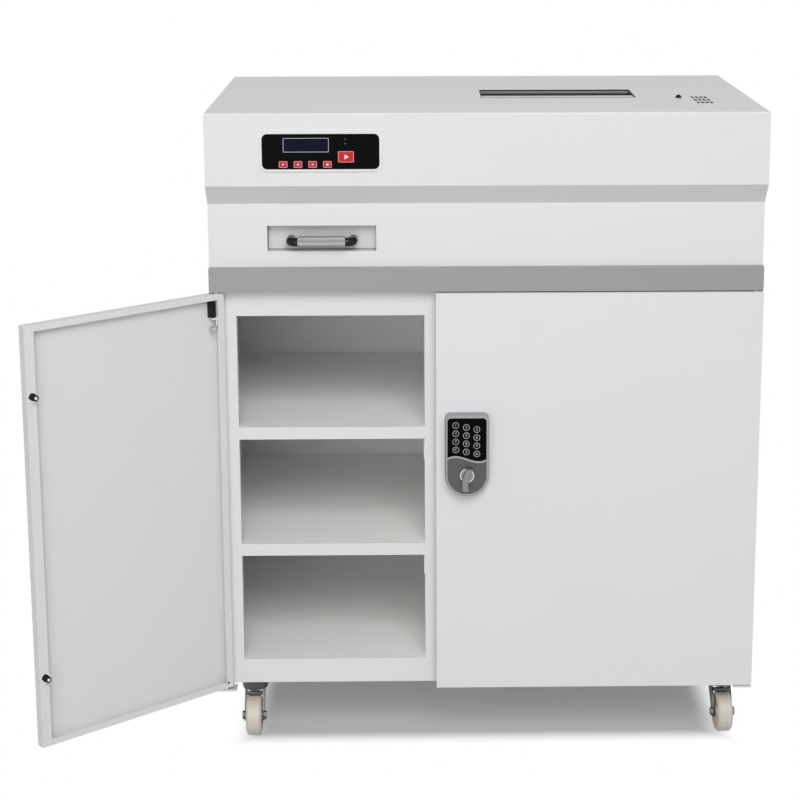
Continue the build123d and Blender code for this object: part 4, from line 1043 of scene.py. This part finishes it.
@dataclass
class DrawerGrip:
    """Knurled sleeve on the bow handle of the drawer."""

    sides: int = 52
    rows: int = 46
    knurl: float = 0.28 * MM
    wall: float = 1.2 * MM

    def build(self) -> None:
        """Model the sleeve in place of its plain solid."""
        low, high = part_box("drawer_grip")
        length = high.x - low.x
        sleeve = Bench.new(
            "drawer_grip_knurled",
            bpy.ops.mesh.primitive_cylinder_add,
            vertices=self.sides,
            radius=(high.z - low.z) / 2 - self.knurl,
            depth=length,
            end_fill_type="NOTHING",
        )
        with Bench.picked(sleeve, Element.EDGE, lambda edge: Bench.rise(sleeve, edge) > length / 2):
            bpy.ops.mesh.subdivide(number_cuts=self.rows - 1)
            bpy.ops.mesh.select_mode(type="FACE")
            bpy.ops.mesh.select_all(action="SELECT")
            bpy.ops.mesh.poke(offset=self.knurl)
        Bench.modify(sleeve, "SOLIDIFY", thickness=self.wall, offset=-1.0)
        place = Matrix.Translation((low + high) / 2) @ Matrix.Rotation(math.pi / 2, 4, "Y")
        Bench.apply(sleeve, place)
        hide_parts("drawer_grip")
        settle(sleeve, KNURLED_STEEL, Body.DRAWER)


@dataclass
class Fasteners:
    """Screws of the back and the head, and bolts of the castor plates."""

    screw_radius: float = 3.6 * MM
    screw_height: float = 2.0 * MM
    screw_crown: float = 1.4 * MM
    screw_turn: float = 37.0
    cross_length: float = 4.32 * MM
    cross_width: float = 0.9 * MM
    cross_depth: float = 1.1 * MM
    bolt_radius: float = 5.2 * MM
    bolt_height: float = 4.0 * MM
    bolt_crown: float = 0.6 * MM
    bolt_sides: int = 6
    bolt_inset: float = 8.0 * MM
    washer_radius: float = 6.4 * MM
    washer_height: float = 1.0 * MM
    washer_crown: float = 0.3 * MM
    plate_size: Point = (70.0 * MM, 60.0 * MM, 3.0 * MM)
    edge: float = 14.0 * MM
    rows: int = 5
    columns: int = 4

    def build(self) -> None:
        """Model every fastener."""
        screw = self.screw()
        low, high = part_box("back_panel")
        levels = self.spread(low.z, high.z, self.rows)
        sides = (low.x + self.edge, high.x - self.edge)
        seats = [(side, high.y, level) for level in levels for side in sides]
        self.screws(screw, seats, "back_panel_screws")
        low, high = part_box("head_casing")
        across = self.spread(low.x, high.x, self.columns)
        self.screws(screw, [(place, high.y, low.z + self.edge) for place in across], "head_screws")
        Bench.drop(screw)
        self.castor_bolts()

    def spread(self, low: float, high: float, count: int) -> list[float]:
        """Even places along a side, the outer ones set in from its ends."""
        span = high - low - 2 * self.edge
        return [low + self.edge + span * number / (count - 1) for number in range(count)]

    def screw(self) -> Piece:
        """Pan-head screw with a cross recess, standing up.

        Returns:
            The screw.
        """
        screw = Bench.stud("screw", self.screw_radius, self.screw_height, self.screw_crown)
        top = (0.0, 0.0, self.screw_height)
        height = self.cross_depth * 2
        Bench.cut(screw, (self.cross_length, self.cross_width, height), top)
        Bench.cut(screw, (self.cross_width, self.cross_length, height), top)
        Bench.tidy(screw)
        return screw

    def screws(self, screw: Piece, seats: list[Point], name: str) -> None:
        """Copy a screw to seats on the back of the cabinet and join the copies.

        Args:
            screw: The modelled screw.
            seats: Places of the copies.
            name: Name of the joined piece.
        """
        copies = [
            Bench.copy(screw, "screw_copy", place_at(seat, Facing.BACK, self.screw_turn * number))
            for number, seat in enumerate(seats)
        ]
        settle(Bench.join(copies, name), ZINC_PLATE, Body.CABINET)

    def castor_bolts(self) -> None:
        """Hexagon bolts with washers in the corners of the castor plates."""
        washer = Bench.stud("washer", self.washer_radius, self.washer_height, self.washer_crown)
        head = Bench.stud("head", self.bolt_radius, self.bolt_height, self.bolt_crown, self.bolt_sides)
        Bench.apply(head, Matrix.Translation((0.0, 0.0, self.washer_height)))
        bolt = Bench.join([washer, head], "bolt")
        Bench.tidy(bolt)
        low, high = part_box("castor_plates")
        length, width, thickness = self.plate_size
        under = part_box("base_pan")[0].z - thickness
        steps = [(self.bolt_inset, side - self.bolt_inset) for side in (length, width)]
        copies = []
        for end, side, x_step, y_step in product((0, 1), (0, 1), *steps):
            x = high.x - x_step if end else low.x + x_step
            y = high.y - y_step if side else low.y + y_step
            copies.append(Bench.copy(bolt, "bolt_copy", place_at((x, y, under), Facing.DOWN)))
        Bench.drop(bolt)
        settle(Bench.join(copies, "castor_plate_bolts"), ZINC_PLATE, Body.CABINET)


@dataclass
class TopTrim:
    """Black edging round the feed opening, put in as its painted shadow line, and a dark ribbed pad
    behind the vents as painted shade in them.
    """

    edging: float = 1.0 * MM
    shadow_edge_proud: float = 0.3 * MM
    sheet: float = 1.5 * MM
    shade_pad_size: Point = (46.0 * MM, 104.0 * MM, 6.0 * MM)
    rib_size: Point = (4.3 * MM, 22.8 * MM, 1.3 * MM)
    rib_pitch: Pair = (6.4 * MM, 32.0 * MM)
    rib_count: tuple[int, int] = (4, 3)
    vent_from_side: float = 77.5 * MM
    vent_from_front: float = 145.0 * MM
    feed_centre: Pair = (112.5 * MM, -17.0 * MM)
    feed_size: Pair = (232.0 * MM, 104.0 * MM)

    def build(self) -> None:
        """Model the painted shadow edging and the painted shade pad."""
        low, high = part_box("head_casing")
        under = high.z - self.sheet
        # Painted shadow: a thin black edge round the feed opening where its rim shows a dark outline.
        edge = Bench.rounded_frame(
            "feed_edging", self.feed_size, self.edging * 2, self.edging, self.sheet + self.shadow_edge_proud
        )
        Bench.apply(edge, Matrix.Translation((*self.feed_centre, under)))
        settle(edge, BLACK_PLASTIC, Body.CABINET)
        # Painted shade: a dark pad with ribs under the vent holes, so that they show dark.
        pad = self.rounded_block("vent_filter", self.shade_pad_size)
        rib = self.rounded_block("rib", self.rib_size)
        middle = Vector((high.x - self.vent_from_side, low.y + self.vent_from_front, under))
        Bench.apply(pad, Matrix.Translation(middle - Vector((0.0, 0.0, self.shade_pad_size[2] / 2))))
        pieces = [pad]
        for steps in product(*(range(count) for count in self.rib_count)):
            x, y = (
                (step - (count - 1) / 2) * pitch
                for step, count, pitch in zip(steps, self.rib_count, self.rib_pitch)
            )
            place = Matrix.Translation(middle + Vector((x, y, self.rib_size[2] / 2)))
            pieces.append(Bench.copy(rib, "rib_copy", place))
        Bench.drop(rib)
        settle(Bench.join(pieces, "vent_filter"), BLACK_RUBBER, Body.CABINET)

    @staticmethod
    def rounded_block(name: str, size: Point) -> Piece:
        """Block with rounded edges, centred on the origin.

        Args:
            name: Name of the piece.
            size: Its three sides.

        Returns:
            The block.
        """
        piece = Bench.block(name, size)
        with Bench.editing(piece):
            bpy.ops.mesh.bevel(offset=min(size) / 4, segments=Bench.CROWN_STEPS)
        Bench.tidy(piece)
        return piece


@dataclass
class DoorTrim:
    """Bolt housing, black disc as painted shade in the pivot hole, buffer washers and buffer screws on
    the open left door.
    """

    open_angle: float = 140.0
    housing_size: Point = (8.0 * MM, 9.4 * MM, 24.6 * MM)
    housing_place: Point = (7.4 * MM, -2.1 * MM, -22.6 * MM)
    housing_edge: float = 0.8 * MM
    housing_recess: float = 0.9 * MM
    buffer_length: float = 8.5 * MM
    buffer_radius: float = 5.5 * MM
    washer_radius: float = 6.9 * MM
    washer_border: float = 1.6 * MM
    washer_height: float = 0.9 * MM
    screw_radius: float = 2.3 * MM
    screw_height: float = 0.35 * MM
    screw_crown: float = 0.21 * MM
    slot_size: Pair = (6.9 * MM, 0.8 * MM)
    hole_shade_place: Point = (-1.5 * MM, 4.7 * MM, 8.0 * MM)
    hole_shade_radius: float = 1.8 * MM
    hole_shade_height: float = 0.3 * MM

    def build(self) -> None:
        """Model the housing and the painted shade of the pivot hole and dress both buffers."""
        self.housing()
        self.plug()
        self.buffers()

    def on_door(self, level: float, place: Point) -> Matrix:
        """Matrix of a place on the open door.

        Args:
            level: Level from which the place is measured.
            place: The place, from the hinge axis and along the door.

        Returns:
            The matrix.
        """
        hinge = joint_place("left_door_hinge")
        turn = Matrix.Rotation(math.radians(-self.open_angle), 4, "Z")
        return Matrix.Translation((hinge.x, hinge.y, level)) @ turn @ Matrix.Translation(place)

    def plug(self) -> None:
        """Black disc in the hinge lip, above the door's foot: painted shade standing in for the dark
        pivot hole.
        """
        # Painted shade: a thin black disc where the pivot hole shows dark.
        plug = Bench.stud("pivot_plug", self.hole_shade_radius, self.hole_shade_height, self.hole_shade_height / 2)
        Bench.tidy(plug)
        place = self.on_door(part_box("left_door")[0].z, self.hole_shade_place)
        Bench.apply(plug, place @ Matrix.Rotation(-math.pi / 2, 4, "X"))
        settle(plug, BLACK_PLASTIC, Body.LEFT_DOOR)

    def housing(self) -> None:
        """Black housing beside the spring of the pivot bolt."""
        housing = Bench.block("bolt_housing", self.housing_size)
        with Bench.picked(housing, Element.FACE, lambda face: face.normal.y > 0.9):
            bpy.ops.mesh.inset(thickness=2 * self.housing_edge)
            Bench.extrude(y=-self.housing_recess)
        Bench.modify(housing, "BEVEL", width=self.housing_edge / 2, segments=Bench.EDGE_STEPS)
        Bench.tidy(housing)
        Bench.apply(housing, self.on_door(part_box("left_door")[1].z, self.housing_place))
        settle(housing, BLACK_PLASTIC, Body.LEFT_DOOR)

    def buffers(self) -> None:
        """Plated washer round each buffer's foot and a slotted screw in its tip."""
        low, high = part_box("door_buffers")
        angle = math.radians(self.open_angle)
        outwards = Vector((math.sin(angle), math.cos(angle), 0.0))
        foot_x = low.x - self.buffer_radius * math.cos(angle)
        foot_y = high.y - self.buffer_radius * math.sin(angle)
        stand = outwards.to_track_quat("Z", "Y").to_matrix().to_4x4()
        washer = Bench.ring("washer", self.washer_radius, self.washer_border, self.washer_height)
        screw = Bench.stud("screw", self.screw_radius, self.screw_height, self.screw_crown)
        Bench.cut(screw, (*self.slot_size, self.screw_height), (0.0, 0.0, self.screw_height))
        Bench.tidy(screw)
        levels = (low.z + self.buffer_radius, high.z - self.buffer_radius)
        for number, level in enumerate(levels, start=1):
            foot = Vector((foot_x, foot_y, level))
            tip = foot + outwards * self.buffer_length
            for master, kind, point in ((washer, "washer", foot), (screw, "screw", tip)):
                name = f"buffer_{kind}_{number}"
                piece = Bench.copy(master, name, Matrix.Translation(point) @ stand)
                settle(piece, BRIGHT_CHROME, Body.LEFT_DOOR)
        Bench.drop(washer)
        Bench.drop(screw)


@dataclass
class KnobHighlightRim:
    """Bright chrome rim on the boss of the lock's knob: a painted highlight standing in for the knob's
    edge highlights.
    """

    radius: float = 10.4 * MM
    border: float = 1.3 * MM
    depth: float = 0.5 * MM
    lever_depth: float = 9.0 * MM

    def build(self) -> None:
        """Model the rim round the lever."""
        axis = joint_place("lock_knob_turn")
        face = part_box("lock_knob")[0].y + self.lever_depth
        # Painted highlight: a bright chrome ring where the knob shows edge highlights.
        rim = Bench.ring("knob_rim", self.radius, self.border, self.depth)
        Bench.apply(rim, place_at((axis.x, face, axis.z), Facing.FRONT))
        settle(rim, BRIGHT_CHROME, Body.LOCK_KNOB)


@dataclass
class CastorWebs:
    """Curved web between the legs of each fork, over its wheel."""

    wheel_radius: float = 30.0 * MM
    clearance: float = 1.0 * MM
    thickness: float = 5.4 * MM
    width: float = 24.8 * MM
    reach: float = 28.0
    sides: int = 90
    edge: float = 0.6 * MM

    def build(self) -> None:
        """Model one web and place it in all four forks."""
        web = self.web()
        up = Vector((0.0, 0.0, 1.0))
        for corner in CASTORS:
            wheel = joint_place(f"castor_roll_{corner}")
            trail = joint_place(f"castor_swivel_{corner}") - wheel
            trail.z = 0.0
            trail.normalize()
            turn = Matrix((trail.cross(up), trail, up)).transposed().to_4x4()
            piece = Bench.copy(web, f"fork_web_{corner}", Matrix.Translation(wheel) @ turn)
            settle(piece, FORK_PLATE, f"castor_fork_{corner}")
        Bench.drop(web)

    def web(self) -> Piece:
        """One web about the wheel's axle, which lies on the origin along x.

        Returns:
            The web.
        """
        web = Bench.new(
            "fork_web",
            bpy.ops.mesh.primitive_cylinder_add,
            vertices=self.sides,
            radius=self.wheel_radius + self.clearance,
            depth=self.width,
            end_fill_type="NOTHING",
        )
        Bench.apply(web, Matrix.Rotation(math.pi / 2, 4, "Y"))
        slope = math.tan(math.radians(self.reach))
        with Bench.picked(
            web, Element.FACE, lambda face: not 0.0 < face.center.y < slope * face.center.z
        ):
            bpy.ops.mesh.delete(type="FACE")
        Bench.modify(web, "SOLIDIFY", thickness=self.thickness, offset=1.0)
        Bench.modify(web, "BEVEL", width=self.edge, segments=Bench.EDGE_STEPS)
        Bench.tidy(web)
        return web


@dataclass
class BoltSpring:
    """Coil spring of the pivot bolt at the top of the left door."""

    wire: float = 0.5 * MM
    coil: float = 2.55 * MM
    turns: int = 9
    travel: float = 8.0 * MM
    guide_drop: float = 35.0 * MM
    collar_drop: float = 4.8 * MM
    steps: int = 20
    sides: int = 10

    def build(self) -> None:
        """Model the spring between its guide and the collar."""
        hinge = joint_place("left_door_hinge")
        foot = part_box("left_door")[1].z - self.guide_drop + self.wire
        length = self.guide_drop - self.collar_drop - 2 * self.wire
        add = bpy.ops.mesh.primitive_circle_add
        upright = (math.pi / 2, 0.0, 0.0)
        spring = Bench.new(
            "pivot_bolt_spring", add, vertices=self.sides, radius=self.wire, rotation=upright
        )
        Bench.apply(spring)
        Bench.apply(spring, Matrix.Translation((self.coil, 0.0, 0.0)))
        Bench.modify(
            spring,
            "SCREW",
            axis="Z",
            screw_offset=length / self.turns,
            iterations=self.turns,
            steps=self.steps,
            render_steps=self.steps,
        )
        with Bench.editing(spring):
            bpy.ops.mesh.fill_holes(sides=self.sides + 2)
        anchor = (hinge.x, hinge.y, foot)
        Bench.apply(spring, Matrix.Translation(anchor))
        Bench.tidy(spring, ROUND_SMOOTH_ANGLE)
        settle(spring, FORK_PLATE, Body.LEFT_DOOR)
        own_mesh(spring)


@dataclass(frozen=True)
class SoftBox:
    """Square area light aimed at a point, in metres and watts."""

    name: str
    place: Point
    target: Point
    size: float
    power: float

    def build(self) -> None:
        """Set up the light."""
        light = bpy.data.lights.new(self.name, "AREA")
        light.size = self.size
        light.energy = self.power
        holder = bpy.data.objects.new(self.name, light)
        bpy.context.scene.collection.objects.link(holder)
        aim = (Vector(self.target) - Vector(self.place)).to_track_quat("-Z", "Y")
        holder.matrix_world = Matrix.Translation(self.place) @ aim.to_matrix().to_4x4()


@dataclass
class Studio:
    """Pale floor, soft lights and the camera."""

    floor_half: float = 14.0
    floor_colour: Colour = (0.56, 0.56, 0.56)
    floor_roughness: float = 0.9
    floor_gloss: float = 0.1
    fade_beside: Pair = (0.325, 0.385)
    # Share of white mixed over the floor under the object: painted light that lightens its cast shadow.
    fade_before: Pair = (0.18, 0.24)
    painted_shadow_lift: float = 0.12
    ambient: float = 0.36
    lens: float = 88.52624
    sensor: float = 36.0
    shift: Pair = (-0.06, -0.15)
    camera_place: Point = (-0.10328, -2.99955, 1.29863)
    yaw: float = 0.97891
    pitch: float = 11.91407
    roll: float = -0.05852
    lights: tuple[SoftBox, ...] = (
        SoftBox("key_light", (0.4, -4.3, 3.7), (0.0, -0.1, 0.2), 2.4, 128.0),
        SoftBox("back_light", (0.0, 3.6, 0.45), (0.0, 0.2, 0.45), 0.9, 42.0),
        SoftBox("fill_light", (-1.2, -4.4, 1.0), (0.0, -0.1, 0.3), 2.4, 40.0),
    )

    def build(self) -> None:
        """Set up the whole studio."""
        self.view()
        self.floor()
        self.world()
        for light in self.lights:
            light.build()

    def view(self) -> None:
        """Camera at the photograph's viewing angle."""
        camera = bpy.data.cameras.new("camera")
        camera.sensor_width = self.sensor
        camera.lens = self.lens
        camera.shift_x, camera.shift_y = self.shift
        holder = bpy.data.objects.new("camera", camera)
        bpy.context.scene.collection.objects.link(holder)
        turn = (
            Matrix.Rotation(math.radians(-self.yaw), 4, "Z")
            @ Matrix.Rotation(math.radians(90.0 - self.pitch), 4, "X")
            @ Matrix.Rotation(math.radians(self.roll), 4, "Z")
        )
        holder.matrix_world = Matrix.Translation(self.camera_place) @ turn
        bpy.context.scene.camera = holder
        bpy.context.scene.view_settings.view_transform = "Standard"

    def floor(self) -> None:
        """Plain pale floor that keeps the object's shadow, lightened with a little painted light under
        the object, and fades to white away from it.
        """
        add = bpy.ops.mesh.primitive_plane_add
        floor = Bench.new("studio_floor", add, size=2 * self.floor_half)
        shader = Shader("studio_floor")
        feeds = {"Base Color": opaque(self.floor_colour), "Roughness": self.floor_roughness}
        shader.feed(shader.surface, {**feeds, "Specular IOR Level": self.floor_gloss})
        apart = shader.node("VectorMath", {0: shader.place}, operation="ABSOLUTE")
        axes = shader.axes(apart.outputs["Vector"])
        # Under the object the floor still shows a small share of white, painted light over its shadow.
        beside = self.ramp(shader, axes["X"], self.fade_beside, self.painted_shadow_lift)
        before = self.ramp(shader, axes["Y"], self.fade_before)
        fade = shader.calc("MAXIMUM", beside, before)
        white = shader.node("Emission", {}).outputs["Emission"]
        seen = shader.calc("MULTIPLY", fade, self.shown(shader))
        blend = shader.node("MixShader", {"Fac": seen, 1: shader.surface.outputs["BSDF"], 2: white})
        shader.feed(shader.tree.nodes["Material Output"], {"Surface": blend.outputs["Shader"]})
        floor.data.materials.append(shader.material)

    @staticmethod
    def shown(graph: Graph) -> Socket:
        """Mask of the rays that show the backdrop: seen directly, in gloss or through glass.

        Args:
            graph: Nodes of the floor or the world.

        Returns:
            The socket that is 1 for those rays.
        """
        rays = graph.node("LightPath", {}).outputs
        direct = graph.calc("MAXIMUM", rays["Is Camera Ray"], rays["Is Glossy Ray"])
        return graph.calc("MAXIMUM", direct, rays["Is Transmission Ray"])

    @staticmethod
    def ramp(
        graph: Graph, value: Socket, ends: Pair, low: float = 0.0
    ) -> Socket:
        """Smooth step from a low value to 1 between two ends."""
        feeds = {"Value": value, "From Min": ends[0], "From Max": ends[1], "To Min": low}
        return graph.node("MapRange", feeds, interpolation_type="SMOOTHSTEP").outputs["Result"]

    def world(self) -> None:
        """White backdrop for the camera and for reflections, softer light for the rest."""
        world = bpy.data.worlds.new("studio")
        bpy.context.scene.world = world
        world.use_nodes = True
        graph = Graph(world.node_tree)
        level = graph.node("MapRange", {"Value": self.shown(graph), "To Min": self.ambient})
        feeds = {"Color": (1.0, 1.0, 1.0, 1.0), "Strength": level.outputs["Result"]}
        graph.feed(graph.tree.nodes["Background"], feeds)


def main() -> None:
    """Dress the solids, add the trim and set up the studio."""
    logging.basicConfig(level=logging.INFO, format="%(name)s %(message)s")
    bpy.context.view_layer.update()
    Solids(frame["nodes"]).dress()
    ControlPanel().build()
    KeypadMarks().build()
    DrawerGrip().build()
    Fasteners().build()
    TopTrim().build()
    DoorTrim().build()
    KnobHighlightRim().build()
    CastorWebs().build()
    BoltSpring().build()
    Studio().build()
    Bench.clear()


if __name__ == "__main__":
    main()
